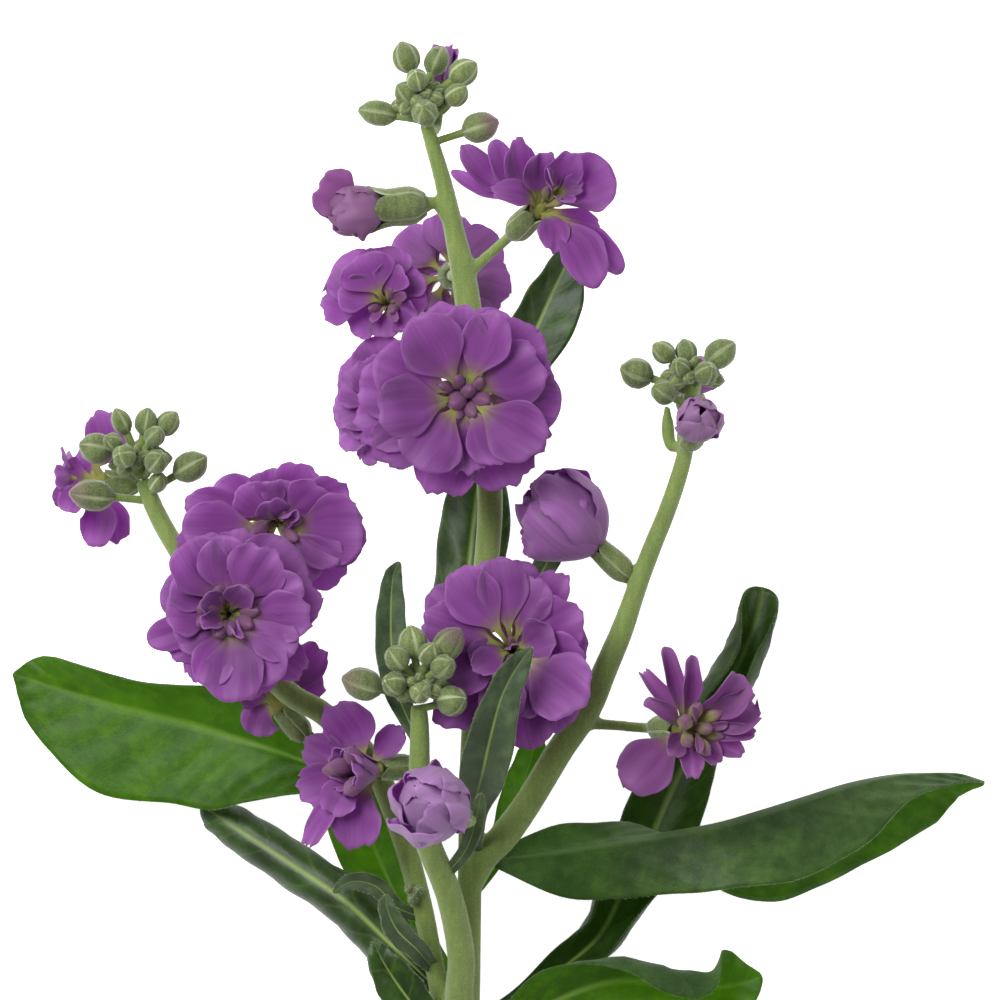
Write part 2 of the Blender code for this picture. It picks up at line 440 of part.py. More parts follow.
LEAVES = {
    "leaf_left_large": (LEAF_BRIGHT, 8, 4, (1.0, 2.0, 0.6), [
        (-23.6, -57.6, 25.0, 1.6, 1.6, 0, 0, 0, 0, 0),
        (-36.0, -53.5, 17.5, 6.5, 5.5, 0, 10, 10, 20, 20),
        (-46.0, -50.0, 12.6, 12.0, 10.0, 0, 8, 10, 15, 20),
        (-54.0, -47.5, 10.2, 15.5, 12.5, 0, 0, 15, 10, 50),
        (-62.0, -45.0, 8.2, 16.5, 14.0, 0, 0, 18, 5, 75),
        (-76.0, -41.5, 5.2, 18.0, 11.0, 0, 0, 20, 0, 75),
        (-87.0, -38.4, 2.4, 12.5, 8.0, 0, 0, 15, 0, 50), (-94.5, -36.0, 0.8, 6.5, 5.0, 0, 0, 5, 0, 20),
        (-98.0, -35.0, 0.45, 1.6, 1.6, 0, 0, 0, 0, 0)]),
    "leaf_left_rolled": (LEAF_GREEN, 6, 6, (0.3, 2.0, 0.6), [
        (-13.2, -97.4, 19.8, 1.6, 1.6, 0, 0, 0, 0, 0),
        (-22.0, -89.0, 18.5, 7.0, 7.0, 0, 0, 0, -70, -70),
        (-31.0, -80.5, 17.0, 9.5, 9.5, 0, 0, 0, -120, -120),
        (-42.0, -73.0, 13.4, 9.5, 9.5, 0, 0, 0, -125, -125),
        (-52.0, -66.5, 9.4, 8.5, 8.5, 0, 0, 0, -120, -120),
        (-57.5, -63.0, 6.5, 5.5, 5.5, 0, 0, 0, -95, -95),
        (-60.0, -61.4, 4.6, 2.2, 2.2, 0, 0, 0, -60, -60)]),
    "leaf_right_folded": (LEAF_GREEN, 10, 4, (0.3, 3.0, 0.5), [
        (-1.4, -72.0, 24.4, 1.6, 1.6, 180, 0, 0, 0, 0),
        (12.0, -70.4, 21.5, 9.5, 5.5, 178, 8, 10, 10, 10),
        (22.0, -69.0, 19.8, 11.0, 5.5, 170, 10, 16, 12, 15),
        (33.0, -67.2, 19.6, 12.0, 9.0, 142, 26, 46, 14, 20),
        (43.0, -65.6, 19.0, 14.0, 16.0, 108, 40, 64, 12, 12),
        (52.0, -63.0, 17.0, 16.5, 20.0, 98, 48, 68, 10, 6),
        (61.0, -60.2, 14.2, 16.0, 19.5, 94, 50, 66, 10, 6),
        (70.0, -57.4, 11.8, 14.0, 18.0, 92, 48, 64, 10, 6),
        (79.0, -55.6, 9.6, 8.0, 15.5, 90, 42, 62, 6, 6),
        (87.0, -55.2, 7.8, 4.6, 12.5, 88, 34, 56, 0, 6),
        (92.5, -55.4, 6.6, 3.6, 8.5, 85, 30, 52, 0, 6),
        (97.4, -57.0, 5.4, 1.8, 3.0, 80, 10, 35, 0, 0)]),
    "leaf_right_upright": (LEAF_GREEN, 8, 6, (0.4, 3.0, 0.4), [
        (-5.0, -105.5, 18.0, 1.6, 1.6, 0, 0, 0, 0, 0), (4.0, -100.5, 9.0, 2.8, 2.8, 0, 10, 10, 20, 20),
        (12.0, -94.5, 3.6, 5.5, 5.5, 0, 15, 15, 60, 60),
        (20.0, -87.5, 1.2, 9.5, 10.0, 0, 10, 10, 110, 110),
        (25.0, -78.0, 0.45, 11.0, 11.5, 0, 5, 5, 110, 100),
        (30.0, -68.5, 0.45, 12.0, 12.0, 0, 5, 5, 90, 75),
        (34.5, -58.5, 0.45, 13.0, 11.5, 0, 5, 5, 100, 80),
        (40.0, -47.0, 0.45, 12.0, 11.5, 0, 0, 0, 135, 125),
        (47.0, -35.0, 0.45, 12.0, 11.0, 0, 0, 0, 160, 145),
        (51.0, -26.0, 0.45, 11.0, 10.0, 0, 0, 0, 160, 150),
        (53.0, -17.6, 0.45, 9.5, 8.5, 0, 0, 0, 150, 140)]),
    "leaf_right_low": (LEAF_BRIGHT, 8, 6, (0.5, 2.0, 0.4), [
        (-6.0, -114.0, 17.6, 1.6, 1.6, 0, 0, 0, 0, 0), (4.0, -104.8, 16.0, 5.0, 5.0, 0, 10, 10, 20, 20),
        (12.6, -99.8, 14.5, 10.0, 9.0, 0, 12, 0, 70, 10),
        (23.2, -96.6, 12.2, 14.0, 11.0, 0, 12, 0, 135, 10),
        (33.0, -97.4, 10.2, 14.0, 10.5, 0, 15, 0, 170, 15),
        (40.5, -98.0, 8.8, 12.5, 9.0, 0, 15, 5, 165, 30),
        (45.0, -97.8, 8.2, 10.0, 8.0, 0, 12, 10, 60, 40),
        (49.0, -97.0, 8.2, 7.0, 6.4, 0, 10, 10, 25, 40),
        (52.6, -95.6, 8.6, 2.8, 3.2, 0, 0, 0, 0, 20)]),
    "leaf_upper_right": (LEAF_GREEN, 5, 4, (0.4, 2.0, 0.4), [
        (-3.4, 14.0, 28.0, 1.6, 1.6, 0, 0, 0, 0, 0), (2.4, 24.0, 24.0, 4.5, 4.5, 0, 10, 10, 20, 20),
        (6.6, 33.0, 22.5, 6.5, 7.0, 0, 15, 5, 40, 15), (10.2, 41.0, 22.0, 6.5, 7.0, 0, 15, 5, 60, 15),
        (13.4, 47.6, 22.0, 4.0, 4.0, 0, 15, 5, 50, 15), (15.4, 51.4, 21.6, 1.4, 1.4, 0, 0, 0, 0, 0)]),
    "leaf_behind_main": (LEAF_GREEN, 5, 4, (0.6, 2.0, 0.4), [
        (-4.4, -32.0, 26.2, 1.4, 1.4, 0, 0, 0, 0, 0), (-7.0, -24.0, 21.0, 6.0, 4.0, 0, 0, 0, -20, -20),
        (-6.4, -14.0, 18.5, 7.0, 7.0, 0, 0, 0, -40, -20),
        (-5.2, -3.0, 17.5, 7.0, 7.5, 0, 0, 0, -40, -20), (-4.2, 5.0, 17.0, 4.5, 5.0, 0, 0, 0, -20, -20),
        (-3.6, 10.0, 17.0, 1.4, 1.4, 0, 0, 0, 0, 0)]),
    "leaf_small_centre": (LEAF_GREEN, 4, 2, (0.2, 2.0, 0.4), [
        (-3.4, -26.4, 27.0, 1.2, 1.2, 0, 0, 0, 0, 0), (3.4, -20.6, 23.6, 2.2, 2.2, 0, 10, 10, 30, 30),
        (8.0, -15.0, 22.6, 2.8, 2.8, 0, 10, 10, 40, 40),
        (11.0, -9.0, 22.0, 2.4, 2.4, 0, 10, 10, 30, 30), (12.6, -4.0, 21.6, 1.2, 1.2, 0, 0, 0, 0, 0)]),
    "leaf_narrow_upright": (LEAF_GREEN, 5, 2, (0.3, 2.0, 0.4), [
        (-16.4, -48.0, 42.2, 1.2, 1.2, 0, 0, 0, 0, 0),
        (-20.4, -38.6, 38.0, 2.6, 2.6, 0, 10, 10, 10, 10),
        (-21.6, -30.0, 36.6, 3.4, 3.4, 0, 10, 10, 20, 20),
        (-21.8, -22.0, 36.0, 3.0, 3.0, 0, 10, 10, 20, 20),
        (-21.4, -15.6, 36.0, 2.0, 2.0, 0, 10, 10, 10, 10),
        (-20.2, -12.4, 37.0, 1.2, 1.2, 0, 0, 0, 0, 0)]),
    "leaf_front_tall": (LEAF_GREEN, 6, 4, (0.5, 3.0, 0.4), [
        (-5.6, -73.0, 23.4, 1.4, 1.4, 0, 0, 0, 0, 0), (-5.2, -62.0, 35.0, 3.0, 3.0, 0, 20, 20, 10, 10),
        (-3.4, -54.0, 43.6, 5.2, 5.2, 0, 20, 20, 20, 10),
        (-1.6, -46.0, 48.0, 5.0, 5.4, 0, 20, 20, 20, 10),
        (0.4, -39.0, 50.6, 3.8, 4.2, 0, 20, 20, 20, 10),
        (3.2, -33.6, 52.0, 3.0, 3.0, 0, 15, 15, 20, 10), (6.4, -29.4, 52.6, 1.4, 1.4, 0, 0, 0, 0, 0)]),
    "leaf_bright_behind": (LEAF_BRIGHT, 4, 2, (0.3, 2.0, 0.4), [
        (-5.6, -79.0, 22.2, 1.2, 1.2, 0, 0, 0, 0, 0), (0.6, -68.0, 16.6, 3.0, 3.0, 0, 10, 10, 20, 20),
        (4.0, -59.0, 15.4, 4.0, 4.0, 0, 10, 10, 20, 20),
        (6.4, -51.4, 15.0, 3.2, 3.2, 0, 10, 10, 20, 20), (7.6, -46.0, 15.0, 1.2, 1.2, 0, 0, 0, 0, 0)]),
    "leaf_bright_left": (LEAF_BRIGHT, 5, 4, (0.4, 2.0, 0.4), [
        (-7.4, -99.0, 18.8, 1.4, 1.4, 0, 0, 0, 0, 0), (-13.5, -91.5, 12.0, 2.6, 2.6, 0, 10, 10, 10, 10),
        (-19.0, -83.0, 8.6, 4.5, 4.5, 0, 10, 10, 20, 20),
        (-22.8, -75.5, 7.0, 6.8, 6.8, 0, 8, 8, 20, 20), (-26.0, -68.0, 6.4, 8.0, 8.0, 0, 8, 8, 20, 20),
        (-28.6, -60.0, 7.0, 7.0, 7.0, 0, 8, 8, 20, 20), (-30.4, -52.0, 8.5, 1.6, 1.6, 0, 0, 0, 0, 0)]),
    "leaf_axil_curved": (LEAF_GREEN, 4, 2, (0.0, 0.0, 0.0), [
        (-15.6, -83.6, 21.8, 1.0, 1.0, 0, 0, 0, 0, 0), (-20.6, -81.6, 24.0, 1.5, 1.5, 0, 0, 0, 0, 0),
        (-24.8, -77.4, 25.0, 1.9, 1.9, 0, 10, 10, 0, 0),
        (-29.6, -76.4, 24.2, 1.7, 1.7, 0, 10, 10, 0, 0),
        (-33.4, -78.6, 22.4, 1.0, 1.0, 0, 0, 0, 0, 0)]),
    "leaf_axil_folded": (LEAF_GREEN, 4, 2, (0.2, 1.0, 0.4), [
        (-13.2, -94.0, 20.6, 1.2, 1.2, 0, 0, 0, 0, 0),
        (-16.6, -90.0, 27.4, 2.4, 2.4, 0, 20, 20, 20, 20),
        (-20.6, -86.0, 29.4, 3.0, 3.0, 0, 20, 20, 30, 30),
        (-22.6, -81.6, 30.4, 2.0, 2.0, 0, 20, 20, 20, 20),
        (-22.8, -79.0, 30.8, 1.1, 1.1, 0, 0, 0, 0, 0)]),
    "leaf_axil_low": (LEAF_GREEN, 4, 2, (0.4, 2.0, 0.4), [
        (-9.2, -112.0, 17.2, 1.4, 1.4, 0, 0, 0, 0, 0),
        (-15.2, -104.0, 22.6, 4.0, 4.0, 0, 15, 15, 20, 20),
        (-19.8, -98.0, 23.4, 5.0, 5.0, 0, 15, 15, 25, 25),
        (-23.2, -92.8, 23.6, 3.6, 3.6, 0, 15, 15, 20, 20),
        (-25.4, -88.4, 23.4, 1.3, 1.3, 0, 0, 0, 0, 0)]),
    "leaf_small_grey": (LEAF_GREEN, 4, 2, (0.0, 0.0, 0.0), [
        (-11.4, -75.6, 34.4, 1.0, 1.0, 0, 0, 0, 0, 0), (-6.8, -69.8, 38.6, 1.5, 1.5, 0, 10, 10, 0, 0),
        (-4.8, -63.8, 40.4, 1.7, 1.7, 0, 10, 10, 0, 0), (-3.8, -58.6, 42.4, 1.0, 1.0, 0, 0, 0, 0, 0)]),
}

# Heads of buds: hub, way it grows, and buds as x, y, z, length and radius

HEADS = {
    "bud_head_main": ((-14.9, 76.2, 31.6), (-0.25, 0.95, 0.15), [
        (-18.8, 88.6, 32.0, 6.4, 2.5), (-12.6, 88.0, 30.0, 6.2, 2.3), (-7.2, 85.6, 32.5, 6.2, 2.5),
        (-18.8, 81.4, 34.5, 5.2, 2.1), (-16.6, 84.0, 37.0, 5.0, 2.0), (-8.6, 81.0, 35.0, 5.2, 2.1),
        (-15.0, 77.4, 38.5, 5.6, 2.4), (-24.6, 77.4, 31.5, 7.6, 2.4), (-3.8, 74.6, 32.5, 7.4, 2.9)]),
    "bud_head_left": ((-71.45, 4.2, 26.55), (-0.2, 0.95, 0.2), [
        (-75.8, 15.8, 29.0, 5.6, 1.8), (-70.8, 15.8, 30.0, 5.6, 2.1), (-66.4, 15.4, 29.0, 5.6, 2.1),
        (-69.0, 12.8, 33.0, 4.6, 1.9), (-81.0, 10.4, 30.0, 6.6, 2.9), (-77.4, 11.6, 33.0, 4.6, 1.7),
        (-75.2, 8.8, 35.0, 4.6, 2.2), (-68.6, 7.8, 33.0, 5.4, 2.2), (-68.4, 3.6, 30.0, 5.0, 1.7),
        (-61.8, 6.8, 29.0, 7.4, 2.8), (-81.8, 1.0, 29.0, 9.0, 2.9)]),
    "bud_head_right": ((38.3, 20.8, 33.2), (0.0, 1.0, 0.15), [
        (27.2, 25.4, 34.0, 6.6, 2.8), (44.2, 29.4, 34.0, 6.8, 2.7), (32.6, 21.6, 38.0, 5.4, 2.3),
        (41.2, 25.4, 38.5, 5.2, 2.1), (32.6, 29.6, 34.0, 5.0, 2.0), (37.2, 29.8, 33.0, 5.0, 2.0),
        (36.0, 26.6, 38.5, 4.4, 1.7)]),
    "bud_head_front": ((-16.2, -40.2, 44.7), (0.0, 0.9, 0.45), [
        (-17.4, -28.2, 49.0, 6.6, 2.7), (-20.6, -31.4, 51.0, 5.4, 2.3), (-14.0, -30.6, 51.5, 5.0, 2.1),
        (-10.2, -28.6, 49.5, 7.6, 2.7), (-11.2, -33.2, 53.0, 5.2, 2.3), (-21.2, -36.6, 51.0, 5.2, 2.2),
        (-15.8, -38.4, 53.5, 4.4, 1.9), (-9.4, -40.0, 49.5, 6.2, 2.8), (-27.6, -36.6, 47.0, 8.2, 3.0)]),
}
SMALL_BUDS = 6
SMALL_LENGTH, SMALL_RADIUS = 3.2, 1.25
AXIL_BUDS = [(-18.0, -78.0, 25.4), (-16.4, -78.4, 26.4), (-17.4, -80.0, 26.8)]
POD = [(37.2, 12.0, 33.0, 0.9), (34.4, 10.4, 31.0, 1.0), (33.6, 14.0, 30.0, 1.4), (33.4, 18.8, 29.5, 0.6)]


# Building the pieces

def block(low, high):
    """Closed box between two corners."""
    corners = np.array([[(low, high)[k][0], (low, high)[j][1], (low, high)[i][2]]
                        for i in (0, 1) for j in (0, 1) for k in (0, 1)], float)
    quads = [(0, 2, 3, 1), (4, 5, 7, 6), (0, 1, 5, 4), (2, 6, 7, 3), (0, 4, 6, 2), (1, 3, 7, 5)]
    faces = [tri for a, b, c, d in quads for tri in ((a, b, c), (a, c, d))]
    return corners, np.array(faces)


FLOOR_BLOCK = block((-30.0, -200.0, -20.0), (20.0, -150.0, 0.0))


def calyx_foot(name, bloom):
    """Lower end of a flower's calyx."""
    facing = flower_frame(bloom.axis)[2]
    return np.asarray(bloom.base) - facing * SHORT_CALYX.get(name, CALYX_LENGTH), facing


def calyx_shape(name, bloom):
    """Stalk from the heart of a shoot and closed calyx of a flower, in one turned body."""
    foot, facing = calyx_foot(name, bloom)
    near = np.concatenate([spline(points, np.linspace(0.0, 1.0, 200)) for points, _ in SHOOTS])[:, :3]
    heart = near[np.argmin(np.linalg.norm(near - bloom.start, axis=1))]
    start = heart * 0.7 + np.asarray(bloom.start) * 0.3
    bend = foot - facing * min(3.0, 0.35 * np.linalg.norm(foot - start))
    way = unit(bend - start)
    stalk = [(start, way, STALK_RADIUS), (bend, way + facing, STALK_RADIUS)]
    length = SHORT_CALYX.get(name, CALYX_LENGTH)
    radius = WIDE_CALYX.get(name, CALYX_RADIUS)
    return ovoid(foot, facing, length, radius, STALK_SIDES, CALYX_PROFILE, stalk)


def stem_shapes():
    """The branching stem with its flower stalks, calyxes, pod and axil buds."""
    shapes = [tube(points, STEM_SIDES, steps) for points, steps in SHOOTS]
    for name, bloom in BLOOMS.items():
        shapes.append(calyx_shape(name, bloom))
    shapes.append(tube(POD, STALK_SIDES, 3))
    for place in AXIL_BUDS:
        foot = np.array(place) - (0.0, 0.0, 3.6)
        shapes.append(ovoid(foot, (0.0, 0.1, 1.0), 4.2, 1.1, BUD_SIDES, SMALL_PROFILE))
    return shapes


def head_shapes(hub, way, buds):
    """A hub crowded with small buds, and larger buds on short stalks round it."""
    hub = np.asarray(hub)
    way = unit(np.asarray(way))
    middle = hub + way * 4.2
    shapes = [ovoid(hub + way * GAP, way, 6.4, 2.2, BUD_SIDES, HUB_PROFILE)]
    across, other, _ = flower_frame(way)
    golden = math.pi * (3.0 - math.sqrt(5.0))
    for n in range(SMALL_BUDS):
        spread = math.radians(20.0 + 75.0 * math.sqrt(n / SMALL_BUDS))
        out = math.cos(golden * n) * across + math.sin(golden * n) * other
        axis = way * math.cos(spread) + out * math.sin(spread)
        shapes.append(ovoid(middle + axis * 1.4, axis, SMALL_LENGTH, SMALL_RADIUS, BUD_SIDES,
                            SMALL_PROFILE))
    for x, y, z, length, radius in buds:
        centre = np.array([x, y, z])
        axis = unit(centre - middle)
        start = [(middle + axis * 0.4, axis, 0.8)]
        foot = centre - axis * length / 2
        shapes.append(ovoid(foot, axis, length, radius, BUD_SIDES, BUD_PROFILE, start))
    return shapes


def mesh_object(name, shape):
    """Object of one closed shape, from millimetres to metres about the origin."""
    verts, faces = shape
    places = (verts - (FLAT_X, FLAT_Y, 0.0)) * MM
    mesh = bpy.data.meshes.new(name)
    mesh.from_pydata(places.tolist(), [], faces.tolist())
    mesh.update()
    return bpy.data.objects.new(name, mesh)


def combine(body, others, operation):
    """Join the other closed shapes to the body, or take them from it."""
    group = bpy.data.collections.new(body.name + "_others")
    bpy.context.scene.collection.children.link(group)
    for number, shape in enumerate(others):
        group.objects.link(mesh_object(f"{body.name}_other_{number}", shape))
    modifier = body.modifiers.new(operation.lower(), "BOOLEAN")
    modifier.operation = operation
    modifier.operand_type = "COLLECTION"
    modifier.collection = group
    modifier.solver = "EXACT"
    graph = bpy.context.evaluated_depsgraph_get()
    result = bpy.data.meshes.new_from_object(body.evaluated_get(graph))
    body.modifiers.clear()
    body.data = result
    for extra in list(group.objects):
        bpy.data.objects.remove(extra)
    bpy.data.collections.remove(group)


def level_triangles(data, angle):
    """Mesh in triangles, with faces that lie within an angle of each other merged first."""
    mesh = bmesh.new()
    mesh.from_mesh(data)
    if angle:
        bmesh.ops.dissolve_limit(mesh, angle_limit=math.radians(angle), verts=mesh.verts,
                                 edges=mesh.edges)
    bmesh.ops.triangulate(mesh, faces=mesh.faces)
    return mesh


def keep_outer_body(body):
    """Drop scraps and sealed hollows, and leave one closed body."""
    mesh = level_triangles(body.data, LEVEL_ANGLE)
    if any(len(edge.link_faces) != 2 for edge in mesh.edges):
        mesh.free()
        mesh = level_triangles(body.data, 0.0)
    left = set(mesh.faces)
    groups = []
    while left:
        front = [left.pop()]
        group = list(front)
        while front:
            face = front.pop()
            near = {other for edge in face.edges for other in edge.link_faces} & left
            left -= near
            front += near
            group += near
        groups.append(group)
    groups.sort(key=len)
    for group in groups[:-1]:
        bmesh.ops.delete(mesh, geom=group, context="FACES")
    mesh.to_mesh(body.data)
    mesh.free()


def material(name, look):
    """Principled material of a colour and a roughness."""
    colour, rough = look
    made = bpy.data.materials.new(name)
    made.use_nodes = True
    surface = made.node_tree.nodes["Principled BSDF"]
    surface.inputs["Base Color"].default_value = (*colour, 1.0)
    surface.inputs["Roughness"].default_value = rough
    made.diffuse_color = (*colour, 1.0)
    return made


def add_piece(name, shapes, look, cut=()):
    """One closed body of a name, from overlapping shapes, clear of what is cut."""
    body = mesh_object(name, shapes[0])
    bpy.context.scene.collection.objects.link(body)
    if len(shapes) > 1:
        combine(body, shapes[1:], "UNION")
    if cut:
        combine(body, cut, "DIFFERENCE")
    keep_outer_body(body)
    body.data.materials.clear()
    body.data.materials.append(material(name + "_finish", look))
    return body


def main():
    for old in list(bpy.data.objects):
        bpy.data.objects.remove(old)
    add_piece("stem", stem_shapes(), STEM_GREEN, cut=[FLOOR_BLOCK])
    for name, (hub, way, buds) in HEADS.items():
        add_piece(name, head_shapes(hub, way, buds), BUD_GREEN)
    for name, bloom in BLOOMS.items():
        petals = [petal_blade(bloom, petal) for petal in bloom.petals]
        add_piece(name, [flower_core(bloom)] + petals, bloom.colour)
    clear = [tube([(x, y, z, r + GAP) for x, y, z, r in points], STEM_SIDES, steps)
             for points, steps in SHOOTS]
    for name, (look, rows, cols, wave, stations) in LEAVES.items():
        leaf = blade(leaf_stations(stations), rows, cols, LEAF_THICK, 0.15, wave)
        add_piece(name, [leaf], look, cut=clear)


main()
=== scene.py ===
"""Looks of a cut flower stem of double stock, laid down on a white table.

The tables and curves are millimetres: x to the right and y towards the tip, both
from the middle of the flowering part, and z up from the table. What they make is
placed in metres, with the origin on the table under the cut end.
"""

import math
from collections import namedtuple

import bpy
import numpy as np
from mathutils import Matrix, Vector


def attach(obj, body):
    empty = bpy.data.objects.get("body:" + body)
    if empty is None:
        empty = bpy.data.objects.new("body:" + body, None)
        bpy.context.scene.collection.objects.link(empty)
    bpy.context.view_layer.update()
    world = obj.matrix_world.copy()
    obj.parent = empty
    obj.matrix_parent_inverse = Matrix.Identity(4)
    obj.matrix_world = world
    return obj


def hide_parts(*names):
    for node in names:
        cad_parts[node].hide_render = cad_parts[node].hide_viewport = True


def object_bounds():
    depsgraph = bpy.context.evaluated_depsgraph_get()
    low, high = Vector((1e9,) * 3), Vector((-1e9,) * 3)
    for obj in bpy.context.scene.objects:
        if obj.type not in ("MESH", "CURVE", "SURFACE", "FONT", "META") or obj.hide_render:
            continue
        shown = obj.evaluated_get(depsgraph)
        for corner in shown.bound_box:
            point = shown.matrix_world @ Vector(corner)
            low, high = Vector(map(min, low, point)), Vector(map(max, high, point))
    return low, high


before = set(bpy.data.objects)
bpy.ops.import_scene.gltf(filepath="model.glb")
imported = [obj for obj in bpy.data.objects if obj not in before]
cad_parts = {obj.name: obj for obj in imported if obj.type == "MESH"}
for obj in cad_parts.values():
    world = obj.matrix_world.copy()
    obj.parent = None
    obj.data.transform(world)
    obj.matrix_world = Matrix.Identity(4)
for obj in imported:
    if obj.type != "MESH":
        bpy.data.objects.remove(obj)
CAD_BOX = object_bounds()

bl_info = {
    "name": "Stock flower stem",
    "version": (1, 0, 0),
    "blender": (4, 5, 0),
    "location": "View3D > Sidebar > Stock stem",
    "description": "Petals, leaves, buds, stem and hairs of a cut stem of double stock",
    "category": "Add Mesh",
}

# Scale, and the model's origin in the tables' millimetres
MM = 0.001
FLAT_X, FLAT_Y = -6.0, -181.0

# Fineness of the meshes: rows and columns of sheets, sides of tubes, and steps in millimetres
PETAL_STATIONS, PETAL_ROWS, PETAL_COLS = 13, 20, 16
SEPAL_STATIONS, SEPAL_ROWS, SEPAL_COLS = 6, 12, 8
LEAF_ROWS, LEAF_COLS = 72, 28
SMALL_LEAF, SMALL_LEAF_ROWS, SMALL_LEAF_COLS = 75.0, 44, 20   # small up to this length
STEM_SIDES, STEM_STEP = 18, 1.5
STALK_SIDES, HUB_SIDES, POD_SIDES, BUD_STALK_SIDES, STALK_STEP = 16, 14, 12, 10, 0.8
BUD_SIDES, BUD_RINGS = 24, 14
STEM_SKIN_STEP, STEM_SKIN_ROUNDS = 0.52, 4

# Ends of the sheets
LEAF_CAP, PETAL_CAP = 2.5, 2.1   # roundness, where 2 is an ellipse
LEAF_TIP_ROUND, PETAL_TIP_ROUND, SEPAL_TIP_ROUND = 0.15, 0.27, 0.12   # share of the length
MARGIN_CROWD = 0.55   # how closely a petal's columns crowd at its margin

# Petals, in millimetres where nothing else is said
PETAL_THICK, PETAL_THROUGH = 0.22, 0.45   # thickness, and share of light let through
GAP = 0.3   # left over the calyx
OPEN_SEAT, FLAT_SEAT, FLAT_LEAN = 3.5, 2.4, 88   # foot, and lean in degrees of a flat petal
FLAP_SEAT, FLAP_THROAT, FLAP_CLAW = 1.4, 2.0, 0.22   # foot, throat and share of its width
BEND_START, BEND_SHARE = 0.1, 0.42   # where along an open petal it bends
OPEN_TRIM = 0.965   # share of an open petal's length that its waves leave
WRAP, WRAP_MOST, WRAP_RADIUS = 0.88, 1.4, 2.0   # how closely a closed petal wraps the next
CLOSED_CLAW, CLAW_WIDTH, CLAW_LEAST = 0.5, 0.8, 0.09   # share, width, and least share
SWING, CUP_SWING, RING_TILT = 1.5, 0.7, 0.3   # how petals differ, and how they overlap
WAVED_WIDTH = 14.0   # width up to which the waves grow

# Calyx, stalk and heart of a flower
CALYX_LENGTH, CALYX_RADIUS = 8.0, 2.4
STALK_RADIUS = 1.1
RECEPTACLE = ((0.0, 0.52), (0.25, 0.88), (0.6, 0.86), (0.97, 0.8))   # shares of both
SEPAL_THICK, SEPAL_KEEL = 0.16, 0.18
SEPAL_WIDTHS = (0.5, 0.92, 0.98, 0.96, 0.84, 0.3)   # shares of the radius, foot to tip
HOOD_SEAT = 3.6
CORE_HEIGHT, CORE_RADIUS = 4.6, 1.9

# Leaves
LEAF_THICK = 0.55
RIB_WIDTH, RIB_SUNK, RIB_RAISED = 0.9, 0.3, 0.75   # midrib's half width, above and below
VEIN_SPACING, VEIN_SLANT = 7.5, 0.16   # side veins, slant as a share of the length
PUCKERED_WIDTH = 8.0   # half width from which the puckers are full

# Patterns by their real spacing
COMMON_HALF, COMMON_LENGTH = 5.6, 22.0   # of the petal that the next two lie on
PETAL_STREAK = (0.5, 12.5, 64.0, 3.0)    # width, length, step between petals, and detail
PETAL_PATCH = (4.2424, 12.5, 34.1, 1.0)
FLOWER_WIDTH, CELL_SPACING = 52.0, 0.02
PUCKER_SPACING, MOTTLE_SPACING = 6.25, 2.381
TUFT_SPACING, STEM_TUFT_SPACING = 0.3125, 0.3846   # drawn some three times too coarse
FURROW_SPACING, FURROW_DRAW = 1.1111, 0.16   # drawn out along the stem to 1 in 6
TABLE_PATCH = 0.1   # metres

# Hairs: how many to a square millimetre, share of the full length, and seed
HAIRS = {
    "sepals": (6.0, 0.7, 8), "stem": (3.0, 0.7, 9), "axil buds": (10.0, 1.0, 10),
    "buds": (9.0, 0.6, 210), "bud stalks": (4.0, 1.0, 220),
    "leaf felt": (4.0, 0.45, 320), "bare leaf": (1.0, 0.45, 320), "leaf fringe": (22.0, 0.8, 340),
}
HAIR_LEAN = 0.7

# Where the random draws of each group of pieces start
SEPAL_SEED, AXIL_SEED, PETAL_SEED, BUD_SEED, LEAF_SEED = 7, 5, 100, 200, 300


# Curves and frames

def unit(vector):
    """The vector, or each vector of an array, at length one."""
    return vector / np.maximum(np.linalg.norm(vector, axis=-1, keepdims=True), 1e-12)


def smooth(x):
    """A step from 0 to 1 with level ends."""
    x = np.clip(x, 0.0, 1.0)
    return x * x * (3.0 - 2.0 * x)


def spline(points, s):
    """Smooth curve through rows of numbers, read at s from 0 to 1."""
    rows = np.asarray(points, float)
    rows = np.vstack([2 * rows[0] - rows[1], rows, 2 * rows[-1] - rows[-2]])
    spans = len(rows) - 3
    x = np.clip(s, 0.0, 1.0) * spans
    i = np.minimum(x.astype(int), spans - 1)
    f = (x - i)[..., None]
    a, b, c, d = rows[i], rows[i + 1], rows[i + 2], rows[i + 3]
    return b + 0.5 * f * (c - a + f * (2 * a - 5 * b + 4 * c - d + f * (3 * (b - c) + d - a)))


def turned(vector, axis, angle):
    """The vector turned about a unit axis it stands square to."""
    return vector * np.cos(angle) + np.cross(axis, vector) * np.sin(angle)


def flower_frame(axis):
    """Two directions across a flower and the one it faces."""
    facing = unit(np.asarray(axis, float))
    across = np.array([1.0, 0.0, 0.0])
    across = unit(across - facing * (across @ facing))
    return across, np.cross(facing, across), facing


# Shapes: vertices, faces, material number of each face, and values of each vertex

Shape = namedtuple("Shape", "verts faces looks along across tone trait")


